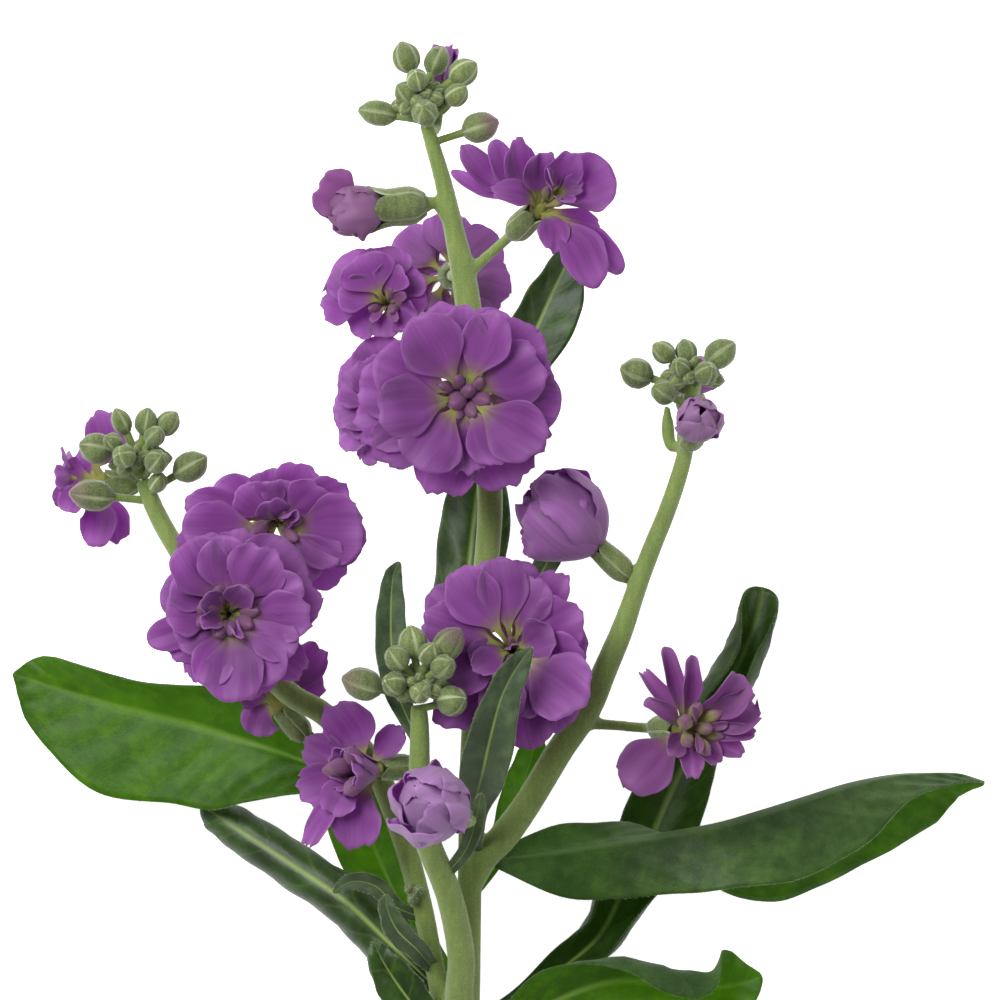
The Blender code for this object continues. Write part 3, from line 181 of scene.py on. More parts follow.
def sheet(stations, rows, cols, tip_round, wave=(0.0, 0.0, 0.0), scallop=None):
    """Grid of points over a petal or leaf, with its place along and across and half width.

    A petal has a scallop, and its end is as round as an ellipse; a leaf's is pointed."""
    s = np.linspace(0.0, 1.0, rows + 1)[:, None] * np.ones(cols + 1)
    t = np.linspace(-1.0, 1.0, cols + 1)[None, :] * np.ones((rows + 1, 1))
    if scallop:
        t = (1.0 - MARGIN_CROWD) * t + MARGIN_CROWD * np.sin(t * math.pi / 2)
        side = np.abs(t)
        depth, count, phase = scallop
        notch = depth * (0.5 + 0.5 * np.sin(math.pi * count * t + phase)) * s ** 3
        notch = notch + 0.3 * depth * np.sin(2.7 * math.pi * count * t + 2 * phase) * s ** 4
        cap = 1.0 - (1.0 - side ** PETAL_CAP) ** (1.0 / PETAL_CAP)
        s = s * (1.0 - tip_round * cap * s ** 2) * (1.0 - notch)
    else:
        side = np.abs(t)
        s = s * (1.0 - tip_round * side ** LEAF_CAP * s ** 2)
    here = spline(stations, s)
    step = 0.002
    tangent = unit(spline(stations, s + step)[..., :3] - spline(stations, s - step)[..., :3])
    up = here[..., 3:6]
    up = unit(up - tangent * np.sum(up * tangent, -1, keepdims=True))
    left = t < 0.0
    half = np.where(left, here[..., 6], here[..., 7])
    fold = np.where(left, here[..., 8], here[..., 9])
    curl = np.where(left, here[..., 10], here[..., 11])
    curl = np.where(np.abs(curl) < 0.001, 0.001, curl)
    across = half * (np.sin(fold + curl * side) - np.sin(fold)) / curl * np.sign(t)
    lift = half * (np.cos(fold) - np.cos(fold + curl * side)) / curl
    height, turns, start = wave
    lift = lift + height * side ** 2 * s * np.sin(2 * math.pi * turns * s + start * np.sign(t))
    grid = here[..., :3] + np.cross(tangent, up) * across[..., None] + up * lift[..., None]
    return grid, s, t, half


def sheet_normal(grid):
    """Direction of the upper face at each point of a grid."""
    along, over = np.gradient(grid, axis=(0, 1))
    return unit(np.cross(over, along))


def thick_sheet(grid, upper_lift, lower_lift, s, t, tone=0.0, trait=0.0):
    """Closed thin body with an upper face, a lower face and a rim."""
    rows, cols = grid.shape[0] - 1, grid.shape[1] - 1
    normal = sheet_normal(grid)
    verts = np.concatenate([(grid + normal * upper_lift[..., None]).reshape(-1, 3),
                            (grid - normal * lower_lift[..., None]).reshape(-1, 3)])
    number = np.arange((rows + 1) * (cols + 1)).reshape(rows + 1, cols + 1)
    a, b = number[:-1, :-1].ravel(), number[:-1, 1:].ravel()
    c, d = number[1:, 1:].ravel(), number[1:, :-1].ravel()
    upper = np.stack([a, b, c, d], 1)
    rim = np.concatenate([number[0, :-1], number[:-1, -1], number[-1, :0:-1], number[:0:-1, 0]])
    after = np.roll(rim, -1)
    under = number.size
    sides = np.stack([after, rim, rim + under, after + under], 1)
    faces = np.concatenate([upper, upper[:, ::-1] + under, sides])
    looks = np.repeat([0, 1, 1], [len(upper), len(upper), len(sides)])
    count = len(verts)
    return Shape(verts, faces, looks, np.tile(s.ravel(), 2), np.tile(t.ravel(), 2),
                 np.full(count, tone), np.full(count, trait))


def turned_body(centres, facings, spokes, tone=0.0, trait=0.0):
    """Closed body on rings, each given by its centre, direction and radii round it."""
    spokes = np.asarray(spokes, float)
    rings, sides = spokes.shape
    angle = np.arange(sides) * 2 * math.pi / sides
    verts = []
    across = None
    for centre, facing, radii in zip(centres, facings, spokes):
        facing = unit(np.asarray(facing, float))
        if across is None:
            across = flower_frame(facing)[0]
        across = unit(across - facing * (across @ facing))
        other = np.cross(facing, across)
        spoke = np.cos(angle)[:, None] * across + np.sin(angle)[:, None] * other
        verts.append(np.asarray(centre) + radii[:, None] * spoke)
    verts = np.concatenate(verts)
    ring = np.arange(sides)
    after = np.roll(ring, -1)
    walls = [np.stack([i * sides + ring, i * sides + after, (i + 1) * sides + after,
                       (i + 1) * sides + ring], 1) for i in range(rings - 1)]
    faces = [*np.concatenate(walls).tolist(), ring[::-1].tolist(),
             (ring + (rings - 1) * sides).tolist()]
    along = np.repeat(np.linspace(0.0, 1.0, rings), sides)
    turn = np.tile(angle / (2 * math.pi), rings)
    count = len(verts)
    return Shape(verts, faces, np.zeros(len(faces), int), along, turn,
                 np.full(count, tone), np.full(count, trait))


def tube(points, sides=STEM_SIDES, step=STEM_STEP):
    """Tapered stalk through rows of x, y, z and radius."""
    points = np.asarray(points, float)
    length = np.linalg.norm(np.diff(points[:, :3], axis=0), axis=1).sum()
    s = np.linspace(0.0, 1.0, max(4, int(length / step)) + 1)
    here = spline(points, s)
    ahead = spline(points, s + 0.01)[:, :3] - spline(points, s - 0.01)[:, :3]
    return turned_body(here[:, :3], ahead, here[:, 3:4] * np.ones(sides))


# Petals

Petal = namedtuple("Petal", "turn length width open_from open_to rise cup tilt")
Flap = namedtuple("Flap", "tip width lift cup look")
Bloom = namedtuple("Bloom", "start base axis petals")


def ring(turns, length, width, open_from, open_to, rise, cup, seed):
    """Petals at the given turns in degrees, each tilted to lie on the next."""
    draw = np.random.default_rng(seed)
    petals = []
    for turn in turns:
        more = 1.0 + draw.uniform(-0.05, 0.05)
        swing = draw.uniform(-2.0, 2.0)
        petals.append(Petal(turn, length * more, width * more, open_from, open_to + swing,
                            rise, cup, RING_TILT))
    return petals


def laid(open_from, open_to, cup, *rows):
    """Petals that open nearly alike, from rows of turn, length, width, rise and tilt."""
    return [Petal(turn, length, width, open_from, open_to + SWING * math.sin(turn), rise,
                  cup * (1.0 + CUP_SWING * math.sin(3.0 * turn)), tilt)
            for turn, length, width, rise, tilt in rows]


def flaps(*rows):
    """Petals to tips of their own, from rows of x, y, z, width, lift, cup and look."""
    return [Flap(row[:3], *row[3:]) for row in rows]


def even(count, start):
    """Turns of a full ring in degrees."""
    return [start + 360.0 * n / count for n in range(count)]


def petal_widths(s, width, claw, start=0.34):
    """Half width along a petal: narrow claw, broad limb, rounded end."""
    limb = claw + (1.0 - claw) * smooth((s - start) / 0.34)
    return 0.5 * width * limb * (1.0 - 0.04 * smooth((s - 0.8) / 0.2))


def ring_petal(bloom, petal):
    """Stations of a petal that rises as a claw and opens outwards."""
    across, other, facing = flower_frame(bloom.axis)
    turn = math.radians(petal.turn)
    radial = math.cos(turn) * across + math.sin(turn) * other
    s = np.linspace(0.0, 1.0, PETAL_STATIONS)
    closing = petal.open_to < petal.open_from
    share = s if closing else smooth((s - BEND_START) / BEND_SHARE)
    lean = np.radians(petal.open_from + (petal.open_to - petal.open_from) * share)
    middle = (lean[1:] + lean[:-1]) / 2
    step = petal.length * (1.0 if closing else OPEN_TRIM) / (PETAL_STATIONS - 1)
    out = 0.5 + np.concatenate([[0.0], np.cumsum(np.sin(middle)) * step])
    seat = 0.0 if closing else FLAT_SEAT if petal.open_to > FLAT_LEAN else OPEN_SEAT
    rise = GAP + seat + petal.rise + np.concatenate([[0.0], np.cumsum(np.cos(middle)) * step])
    place = np.asarray(bloom.base) + out[:, None] * radial + rise[:, None] * facing
    ahead = np.sin(lean)[:, None] * radial + np.cos(lean)[:, None] * facing
    up = -np.cos(lean)[:, None] * radial + np.sin(lean)[:, None] * facing
    up = turned(up, ahead, petal.tilt)
    if closing:
        half = petal_widths(s, petal.width, CLOSED_CLAW, start=0.0)
        curl = np.minimum(WRAP * half / np.maximum(out, WRAP_RADIUS), WRAP_MOST)
    else:
        half = petal_widths(s, petal.width, max(CLAW_LEAST, CLAW_WIDTH / petal.width))
        curl = petal.cup * s
    level = np.zeros(len(s))
    return np.column_stack([place, up, half, half, level, level, curl, curl])


def flap_petal(bloom, flap):
    """Stations of a petal from the core to a tip at a place of its own."""
    facing = flower_frame(bloom.axis)[2]
    root = np.asarray(bloom.base) + facing * (GAP + FLAP_SEAT)
    throat = root + facing * FLAP_THROAT
    tip = np.asarray(flap.tip, float)
    middle = throat * 0.45 + tip * 0.55 + facing * flap.lift
    s = np.linspace(0.0, 1.0, 7)
    place = spline([root, throat * 0.8 + tip * 0.2, middle, tip], s)
    ahead = unit(np.gradient(place, axis=0))
    up = facing * (1.0 - flap.look) + np.array([0.0, 0.0, flap.look])
    up = unit(up - ahead * (ahead @ up)[:, None])
    half = petal_widths(s, flap.width, FLAP_CLAW)
    level = np.zeros(len(s))
    return np.column_stack([place, up, half, half, level, level, flap.cup * s, flap.cup * s])


def petal_relief(s, t, width, ruffle, draw):
    """Height of the waves, crease, swell, pleats and rumples of a petal's limb.

    Each kind reaches the share of the petal's width that it has in the sum."""
    side = np.abs(t)
    phase = draw.uniform(0.0, 2 * math.pi, 4)
    limb = smooth((s - 0.3) / 0.4)
    waves = limb * side ** 2.4 * np.sin(2 * math.pi * (1.5 + draw.uniform(0, 0.9)) * s
                                        + phase[0] + phase[1] * np.sign(t))
    end = smooth((s - 0.62) / 0.38) * np.sin(2 * math.pi * (0.8 + draw.uniform(0, 0.5)) * t
                                             + phase[2])
    crease = -limb * np.exp(-(t / 0.13) ** 2) * draw.uniform(-0.2, 0.7)
    swell = limb * (1.0 - side ** 2) * draw.uniform(-0.3, 0.5)
    pleats = limb * (1.0 - side ** 4) * np.sin(math.pi * draw.uniform(2.4, 4.2) * t + phase[3])
    fine = limb * side ** 3 * np.sin(2 * math.pi * draw.uniform(3.4, 5.2) * s + phase[1])
    rumple = 0.0
    for _ in range(3):
        slope, place = draw.uniform(-1.2, 1.2), draw.uniform(-0.6, 0.6)
        deep = draw.uniform(-1.0, 1.0)
        line = (t - place - slope * (s - 0.7)) / draw.uniform(0.12, 0.26)
        rumple = rumple + deep * limb * np.exp(-line ** 2)
    relief = (0.03 * waves + 0.032 * end + 0.02 * crease + 0.035 * swell + 0.009 * pleats
              + 0.012 * fine + 0.026 * rumple)
    return ruffle * min(width, WAVED_WIDTH) * relief


def petal_shape(bloom, petal, ruffle, thick, draw, faded):
    """Thin closed petal of either kind, with its own waves and scalloped end."""
    make = ring_petal if isinstance(petal, Petal) else flap_petal
    scallop = (draw.uniform(0.0, 0.06), draw.uniform(1.2, 3.2), draw.uniform(0.0, 6.0))
    grid, s, t, _ = sheet(make(bloom, petal), PETAL_ROWS, PETAL_COLS, PETAL_TIP_ROUND,
                          scallop=scallop)
    closing = isinstance(petal, Petal) and petal.open_to < petal.open_from
    relief = petal_relief(s, t, petal.width, ruffle * (2.0 if closing else 1.0), draw)
    rim = 0.45 + 0.55 * (1.0 - np.abs(t) ** 4)
    along = 0.5 + 0.5 * s if closing else s
    return thick_sheet(grid, relief + thick / 2 * rim, thick / 2 * rim - relief, along, t,
                       draw.uniform(0.0, 1.0), faded)


# Stem and side shoots: x, y, z and radius

MAIN_STEM = [(-6.0, -186.0, 2.7, 3.4), (-6.2, -177.0, 2.9, 3.4),
             (-6.8, -160.0, 7.0, 3.3), (-7.4, -130.0, 13.8, 3.2),
             (-7.0, -105.0, 18.6, 3.0), (-6.2, -83.0, 22.6, 2.5), (-5.6, -50.0, 26.5, 2.4),
             (-3.4, -20.0, 28.0, 2.5), (-2.0, 1.0, 28.5, 2.6), (-4.4, 22.0, 29.0, 2.7),
             (-6.8, 42.0, 29.5, 2.6), (-9.2, 54.0, 30.0, 2.1), (-11.2, 63.0, 30.5, 1.8),
             (-13.2, 70.0, 31.0, 1.6), (-14.8, 75.4, 31.5, 1.4)]
RIGHT_SHOOT = [(-5.6, -77.0, 23.2, 2.2), (-3.0, -71.5, 24.5, 2.8), (1.0, -67.0, 25.5, 3.0),
               (6.0, -60.0, 27.0, 2.8), (12.0, -50.0, 29.0, 2.8), (17.6, -42.0, 30.0, 2.6),
               (21.0, -34.0, 31.0, 2.5), (24.4, -26.0, 32.0, 2.3), (27.2, -18.0, 32.5, 2.0),
               (30.2, -10.0, 33.0, 1.9), (33.6, -1.6, 33.0, 1.8), (36.4, 7.0, 33.0, 1.7),
               (37.8, 14.0, 33.0, 1.5), (38.2, 20.0, 33.0, 1.3)]
LEFT_SHOOT = [(-7.4, -124.0, 15.0, 2.0), (-10.4, -108.0, 18.0, 2.2), (-13.6, -91.0, 20.5, 2.0),
              (-16.0, -80.0, 22.0, 2.2), (-20.0, -66.0, 24.0, 2.3), (-26.0, -52.0, 26.0, 2.4),
              (-35.0, -43.0, 27.5, 2.4), (-43.0, -38.0, 28.0, 2.4), (-55.0, -25.0, 27.5, 2.2),
              (-64.8, -9.6, 27.0, 2.0), (-69.0, -2.0, 26.5, 1.9), (-71.4, 4.0, 26.5, 1.7)]
FRONT_SHOOT = [(-7.2, -114.0, 17.4, 2.2), (-8.2, -100.0, 23.0, 2.8), (-7.8, -91.0, 28.0, 2.8),
               (-10.2, -79.0, 33.0, 2.7), (-14.6, -67.6, 37.5, 2.6), (-16.0, -58.0, 40.0, 2.3),
               (-16.0, -47.0, 43.0, 2.0), (-16.2, -41.0, 44.5, 1.7)]
SHOOTS = [MAIN_STEM, RIGHT_SHOOT, LEFT_SHOOT, FRONT_SHOOT]


# Flowers: where the stalk starts, calyx top, way it faces and petals

BLOOMS = {
    "bloom_main_front": Bloom(
        (-4.6, 12.0, 30.0), (-7.4, 21.2, 41.0), (0.03, -0.06, 1.0),
        laid(12, 80, 0.3, (122, 24.9, 13.5, 2.0, 0.1), (93, 24.5, 11.0, 0.8, 0.0),
             (70, 24.2, 10.5, 2.1, -0.1), (27, 22.6, 14.5, 1.0, 0.1), (-33, 24.6, 13.5, 1.6, 0.1),
             (-61, 19.7, 9.5, 2.5, -0.05), (-88, 20.4, 9.5, 1.0, 0.0), (-128, 22.4, 14.0, 2.0, 0.1),
             (188, 23.7, 13.0, 2.4, -0.05), (157, 25.6, 13.0, 1.0, 0.1))
        + laid(26, 95, 0.2, (196, 27.0, 14.0, 0.0, 0.1), (214, 26.0, 11.5, 0.5, 0.0),
               (-105, 24.7, 13.5, 0.0, 0.1), (-60, 24.6, 14.5, 0.3, 0.1), (-5, 23.0, 14.0, 0.0, 0.1),
               (42, 23.5, 14.0, 0.5, 0.0), (108, 23.0, 13.0, 0.0, 0.0), (174, 25.5, 13.0, 0.6, 0.1),
               (68, 22.0, 12.0, 0.0, 0.0), (15, 22.0, 11.0, 0.4, 0.1), (-32, 23.0, 12.0, 0.0, 0.0))),
    "bloom_main_left": Bloom(
        (-6.0, 33.0, 29.0), (-21.0, 38.8, 24.0), (-0.22, 0.06, 1.0),
        laid(12, 98, 0.4, (205, 11.5, 10.0, 1.0, 0.1), (170, 17.0, 13.0, 1.0, 0.2),
             (140, 16.6, 12.0, 1.4, 0.1), (95, 14.6, 12.0, 1.0, 0.2), (50, 11.4, 9.0, 1.4, 0.1),
             (20, 10.0, 8.0, 1.0, 0.1))
        + laid(8, 74, 0.8, (115, 14.0, 12.0, 2.6, 0.1), (160, 12.5, 9.0, 2.2, -0.1),
               (70, 11.0, 8.0, 2.4, 0.1))
        + laid(10, 80, 0.6, (-35, 9.0, 7.5, 0.8, 0.1), (-95, 8.8, 7.0, 0.6, 0.1))),
    "bloom_main_back": Bloom(
        (-7.4, 46.0, 28.0), (-10.0, 45.0, 12.8), (-0.06, 0.0, -1.0),
        ring(even(7, 15), 16.5, 12.0, 20, 84, 0.6, 0.3, seed=8)
        + ring(even(6, 40), 14.5, 10.5, 14, 70, 1.2, 0.4, seed=48)
        + ring(even(2, 40), 9.5, 6.0, 5, 40, 2.4, 0.9, seed=9)),
    "bloom_upper_right": Bloom(
        (-5.0, 45.5, 30.5), (6.6, 57.0, 35.5), (0.55, 0.5, 0.67),
        flaps((-7.7, 71.0, 36.0, 6.0, -2.5, 0.5, 0.7), (-9.8, 65.8, 32.5, 4.0, -2.0, 0.6, 0.3),
              (-1.4, 72.0, 37.0, 6.0, -2.5, 0.6, 0.6), (3.2, 72.6, 38.5, 8.0, -2.5, 0.6, 0.5),
              (7.8, 69.2, 41.0, 7.5, -1.0, 0.6, 0.4), (10.6, 69.4, 33.0, 8.5, -1.5, 0.4, 0.3),
              (15.0, 69.6, 43.0, 8.0, 0.0, 0.8, 0.2), (22.8, 65.4, 38.5, 12.5, 1.0, 0.4, 0.3),
              (-2.0, 61.6, 43.0, 6.0, 1.5, 0.6, 0.2), (10.6, 49.0, 41.0, 7.0, 1.5, 0.5, 0.4),
              (19.4, 42.2, 39.5, 9.5, 2.0, 0.5, 0.6), (24.6, 45.4, 36.5, 6.5, 1.0, 0.5, 0.6),
              (20.4, 52.0, 34.5, 7.5, 0.0, 0.4, 0.5))
        + ring([40, 160, 280], 8.0, 4.0, 4, 50, 2.6, 0.7, seed=49)),
    "bud_opening_left": Bloom(
        (-11.6, 55.2, 30.3), (-22.6, 58.4, 33.0), (-1.0, -0.1, 0.25),
        laid(75, -48, 0.0, (10, 13.6, 12.0, 0.0, 0.06), (130, 13.0, 11.5, 0.0, 0.06),
             (250, 13.6, 12.0, 0.0, 0.06))
        + laid(72, -74, 0.0, (70, 14.8, 10.0, 0.4, 0.06), (190, 15.0, 10.0, 0.4, 0.06),
               (310, 14.8, 10.0, 0.4, 0.06))
        + flaps((-36.6, 63.6, 36.5, 10.5, 0.5, 0.2, 0.85))),
    "bloom_main_side": Bloom(
        (-4.8, 14.0, 28.0), (-15.2, 19.0, 24.0), (-0.72, 0.1, 0.68),
        ring([96, 135, 178, 220, 262], 17.2, 12.5, 15, 74, 0.6, 0.4, seed=12)
        + ring([150, 205, 115, 241], 14.0, 10.0, 8, 58, 1.8, 0.6, seed=13)),
    "bloom_half_open_right": Bloom(
        (26.8, -17.4, 32.6), (20.2, -10.2, 33.0), (-0.74, 0.67, 0.15),
        laid(76, -40, 0.0, (20, 21.5, 18.0, 0.2, 0.14), (140, 20.0, 17.0, 0.2, 0.14),
             (255, 22.0, 18.0, 0.2, 0.14))
        + laid(76, -56, 0.0, (70, 23.4, 16.0, 0.6, 0.14), (195, 23.0, 16.0, 0.6, 0.14),
               (318, 24.0, 16.0, 0.6, 0.14))
        + laid(74, -76, 0.0, (40, 24.4, 15.0, 1.0, 0.1), (160, 24.4, 15.0, 1.0, 0.1),
               (280, 24.0, 15.0, 1.0, 0.1))
        + flaps((4.2, -10.0, 31.0, 8.5, 2.0, 0.5, 0.6))),
    "bloom_centre": Bloom(
        (-3.0, -39.5, 26.5), (2.4, -31.0, 31.0), (0.0, 0.12, 1.0),
        laid(13, 82, 0.3, (162, 24.6, 11.0, 1.0, 0.1), (128, 24.8, 11.5, 1.6, 0.15),
             (99, 23.7, 10.5, 0.8, 0.1), (69, 19.4, 9.5, 1.8, -0.1), (27, 20.4, 12.5, 1.2, 0.2),
             (-39, 24.6, 14.5, 1.4, 0.1), (-74, 18.8, 8.0, 2.0, -0.1), (-100, 19.6, 10.0, 1.2, 0.15),
             (-12, 19.0, 11.0, 1.6, 0.2), (-152, 20.0, 10.0, 1.4, 0.1))
        + laid(26, 95, 0.2, (57, 22.5, 8.0, 0.0, 0.1), (2, 18.0, 12.0, 0.2, 0.1),
               (-78, 24.0, 12.0, 0.0, 0.1), (226, 25.2, 11.0, 0.4, 0.1), (145, 24.0, 11.0, 0.0, 0.2),
               (114, 22.5, 11.0, 0.2, -0.1), (-55, 22.5, 12.0, 0.0, 0.1), (250, 22.0, 11.0, 0.0, 0.2),
               (182, 22.0, 11.0, 0.3, 0.1), (84, 21.5, 10.0, 0.2, 0.1))
        + laid(8, 60, 0.6, (17, 13.4, 9.5, 2.4, 0.1), (192, 13.6, 6.5, 2.4, -0.1),
               (212, 14.4, 7.0, 2.8, 0.1))),
    "bloom_left_back": Bloom(
        (-60.6, -16.4, 28.0), (-44.6, -3.0, 30.0), (0.0, -0.2, 1.0),
        laid(14, 82, 0.3, (178, 24.2, 10.5, 1.2, 0.1), (134, 13.6, 8.5, 1.6, 0.1),
             (108, 11.8, 8.0, 1.8, -0.1), (81, 11.8, 8.0, 1.6, 0.1), (38, 16.2, 11.0, 1.4, 0.15),
             (0, 22.6, 15.5, 1.6, 0.1), (-25, 18.4, 8.5, 2.6, -0.1), (-60, 17.0, 11.0, 1.4, 0.1),
             (240, 17.0, 11.0, 1.6, 0.1))
        + laid(26, 95, 0.2, (168, 22.3, 10.0, 0.2, 0.1), (197, 25.4, 10.0, 0.2, 0.1),
               (-44, 21.0, 10.0, 0.0, 0.1), (60, 15.4, 11.0, 0.2, 0.1), (98, 12.4, 10.0, 0.0, 0.1),
               (20, 19.0, 12.0, 0.2, 0.1), (150, 17.0, 10.0, 0.2, 0.1), (222, 20.0, 11.0, 0.0, 0.1),
               (-14, 21.5, 12.0, 0.0, 0.1))
        + laid(8, 40, 2.2, (100, 14.0, 7.5, 2.4, 0.1), (40, 11.0, 5.5, 2.6, 0.1))),
    "bloom_left_front": Bloom(
        (-54.4, -25.8, 29.0), (-54.0, -22.8, 41.5), (0.0, 0.0, 1.0),
        laid(12, 80, 0.35, (58, 20.6, 12.5, 2.0, 0.1), (-2, 22.0, 11.0, 1.4, 0.15),
             (24, 21.0, 9.0, 0.8, -0.1), (-53, 21.6, 10.5, 1.6, 0.1), (-85, 22.8, 13.0, 1.2, 0.1),
             (-108, 19.6, 9.0, 1.8, -0.1), (145, 17.2, 10.0, 1.8, 0.1), (122, 22.0, 13.0, 1.2, 0.2),
             (95, 20.4, 11.0, 1.6, 0.1), (174, 16.4, 11.0, 2.0, 0.1), (208, 15.4, 10.5, 1.8, 0.15),
             (234, 15.0, 10.0, 1.6, 0.1), (-28, 20.0, 9.5, 2.0, -0.1))
        + laid(25, 96, 0.2, (46, 22.4, 15.5, 0.0, 0.1), (10, 22.7, 12.0, 0.0, 0.1),
               (-39, 22.8, 9.5, 0.2, 0.1), (198, 20.2, 7.0, 0.0, 0.1), (215, 17.0, 8.0, 0.2, 0.1),
               (-118, 18.0, 8.0, 0.0, 0.1), (-70, 21.0, 12.0, 0.0, 0.1), (110, 20.0, 12.0, 0.0, 0.2),
               (155, 17.0, 11.0, 0.2, 0.1), (80, 20.6, 12.0, 0.2, 0.1))
        + laid(8, 40, 2.0, (60, 13.0, 7.0, 2.6, 0.1), (150, 12.5, 6.5, 2.6, 0.1),
               (200, 12.0, 6.0, 2.8, 0.1), (300, 11.0, 5.0, 2.6, 0.1))),
    "bloom_left_low": Bloom(
        (-33.0, -45.2, 26.6), (-42.6, -43.4, 21.6), (-0.5, 0.55, -0.2),
        flaps((-35.6, -29.0, 20.0, 9.0, 0.0, 0.4, 0.8), (-34.8, -37.0, 18.6, 8.0, 1.0, 0.4, 0.8),
              (-47.0, -29.4, 18.0, 9.0, 0.0, 0.4, 0.8), (-51.0, -36.4, 21.0, 9.0, 0.0, 0.4, 0.8),
              (-48.6, -47.4, 19.4, 8.5, 1.0, 0.4, 0.8))
        + ring([0, 70, 140, 210, 280], 10.0, 7.0, 8, 60, 1.6, 0.6, seed=65)),
    "bloom_left_tip": Bloom(
        (-70.2, 1.0, 26.0), (-77.5, 3.6, 17.5), (-0.85, 0.1, -0.15),
        flaps((-80.6, 18.2, 19.0, 8.5, -2.0, 0.4, 0.9), (-88.0, 5.4, 18.0, 8.0, 1.0, 0.5, 0.8),
              (-86.5, -2.5, 23.0, 6.5, 1.0, 0.5, 0.8), (-81.6, -9.6, 17.0, 7.5, -1.0, 0.4, 0.9),
              (-77.0, -9.0, 13.0, 7.0, -1.0, 0.4, 0.9), (-85.0, 9.6, 10.5, 8.0, -1.0, 0.4, 0.5))
        + ring([0, 70, 140, 210, 280], 9.0, 6.0, 8, 60, 1.4, 0.6, seed=66)),
    "bloom_front_open": Bloom(
        (-15.6, -60.0, 39.0), (-23.4, -53.6, 36.0), (-0.75, -0.05, 0.65),
        flaps((-34.0, -40.2, 39.5, 10.5, -1.5, 0.4, 0.7), (-19.6, -45.0, 36.2, 6.0, 0.0, 0.5, 0.7),
              (-39.4, -48.4, 35.0, 8.0, 1.0, 0.5, 0.7), (-40.8, -58.6, 35.0, 9.0, 1.0, 0.5, 0.6),
              (-39.0, -69.6, 36.0, 5.5, 2.0, 0.6, 0.2), (-28.4, -70.2, 38.0, 10.5, 1.5, 0.4, 0.8),
              (-33.6, -63.0, 40.0, 8.0, 2.0, 0.5, 0.6))
        + ring([0, 60, 120, 180, 240, 300], 10.5, 7.5, 34, 10, 1.4, 1.0, seed=67)),
    "bloom_half_open_front": Bloom(
        (-14.0, -67.0, 39.6), (-9.6, -62.4, 49.5), (-0.45, 0.2, 0.85),
        laid(77, -38, 0.0, (10, 18.0, 15.0, 0.0, 0.12), (128, 17.0, 14.0, 0.0, 0.12),
             (246, 18.5, 15.0, 0.0, 0.12))
        + laid(76, -54, 0.0, (62, 20.4, 14.0, 0.5, 0.12), (186, 20.0, 13.0, 0.5, 0.12),
               (310, 20.4, 13.0, 0.5, 0.12))
        + laid(74, -76, 0.0, (30, 20.8, 12.0, 0.8, 0.1), (150, 21.0, 12.0, 0.8, 0.1),
               (270, 20.6, 12.0, 0.8, 0.1))),
    "bloom_right": Bloom(
        (17.2, -45.0, 30.6), (35.0, -45.6, 35.0), (0.55, 0.0, 0.83),
        flaps((24.6, -57.6, 36.5, 11.5, 0.0, 0.2, 0.8), (32.7, -29.2, 40.5, 5.6, 0.0, 2.0, 0.3),
              (38.1, -30.9, 43.0, 5.6, 0.5, 2.0, 0.3), (27.9, -33.9, 40.0, 5.0, 0.5, 2.0, 0.3),
              (28.8, -40.0, 41.0, 5.0, 1.0, 2.0, 0.3), (51.0, -39.6, 38.0, 11.0, 3.5, 1.7, 0.3),
              (48.4, -34.8, 42.5, 9.0, 3.5, 1.7, 0.3), (51.2, -46.6, 41.0, 5.0, 0.5, 1.6, 0.4),
              (48.8, -50.8, 39.0, 5.6, 0.5, 1.6, 0.5), (43.8, -52.8, 40.5, 5.6, 0.5, 1.4, 0.5),
              (38.4, -56.0, 42.0, 5.5, 0.5, 0.8, 0.5), (33.6, -51.0, 44.0, 5.5, 0.0, 1.0, 0.4))),
    "bud_opening_right": Bloom(
        (37.0, 9.5, 34.0), (38.4, 13.2, 38.5), (0.2, 0.5, 0.8),
        laid(76, -44, 0.0, (20, 11.0, 9.5, 0.0, 0.06), (140, 10.6, 9.0, 0.0, 0.06),
             (260, 11.0, 9.5, 0.0, 0.06))
        + laid(74, -74, 0.0, (80, 12.2, 8.0, 0.4, 0.06), (200, 12.4, 8.0, 0.4, 0.06),
               (320, 12.2, 8.0, 0.4, 0.06))),
    "bloom_right_tip": Bloom(
        (37.8, 14.0, 32.0), (38.4, 20.4, 24.5), (0.2, 0.5, -0.7),
        flaps((43.4, 22.6, 25.0, 6.5, 0.0, 0.5, 0.6), (32.8, 22.6, 22.0, 5.5, 0.0, 0.5, 0.6),
              (38.4, 27.0, 21.0, 6.5, 0.0, 0.5, 0.4))
        + ring([0, 90, 180, 270], 6.0, 4.5, 6, 44, 1.2, 0.6, seed=73)),
    "bud_opening_top": Bloom(
        (-14.2, 72.8, 30.0), (-12.0, 82.0, 24.0), (0.1, 1.0, 0.0),
        ring(even(4, 30), 9.0, 5.5, 30, -12, 0.0, 0.8, seed=32)
        + ring(even(4, 75), 8.2, 5.0, 26, -10, 0.3, 0.8, seed=74)),
}

# Flowers of the paler colour, and calyx lengths and radii that differ from the usual
PALE_BLOOMS = ("bloom_half_open_front", "bud_opening_right")
SHORT_CALYX = {"bud_opening_right": 4.0, "bloom_right_tip": 4.5, "bud_opening_top": 4.5,
               "bloom_left_tip": 5.0, "bloom_left_low": 6.0, "bloom_half_open_front": 5.5}
WIDE_CALYX = {"bud_opening_left": 3.5}

# Reach of the sepals past the calyx, and their spread at the tips as a share of its radius
SEPAL_REACH, SEPAL_FLARE = 1.6, 0.92
WIDE_SEPAL_REACH, WIDE_SEPAL_FLARE = 3.4, 1.3

# Hearts of the open flowers: folded petals that stand as plump hoods, by turn, lean, length
# and radius

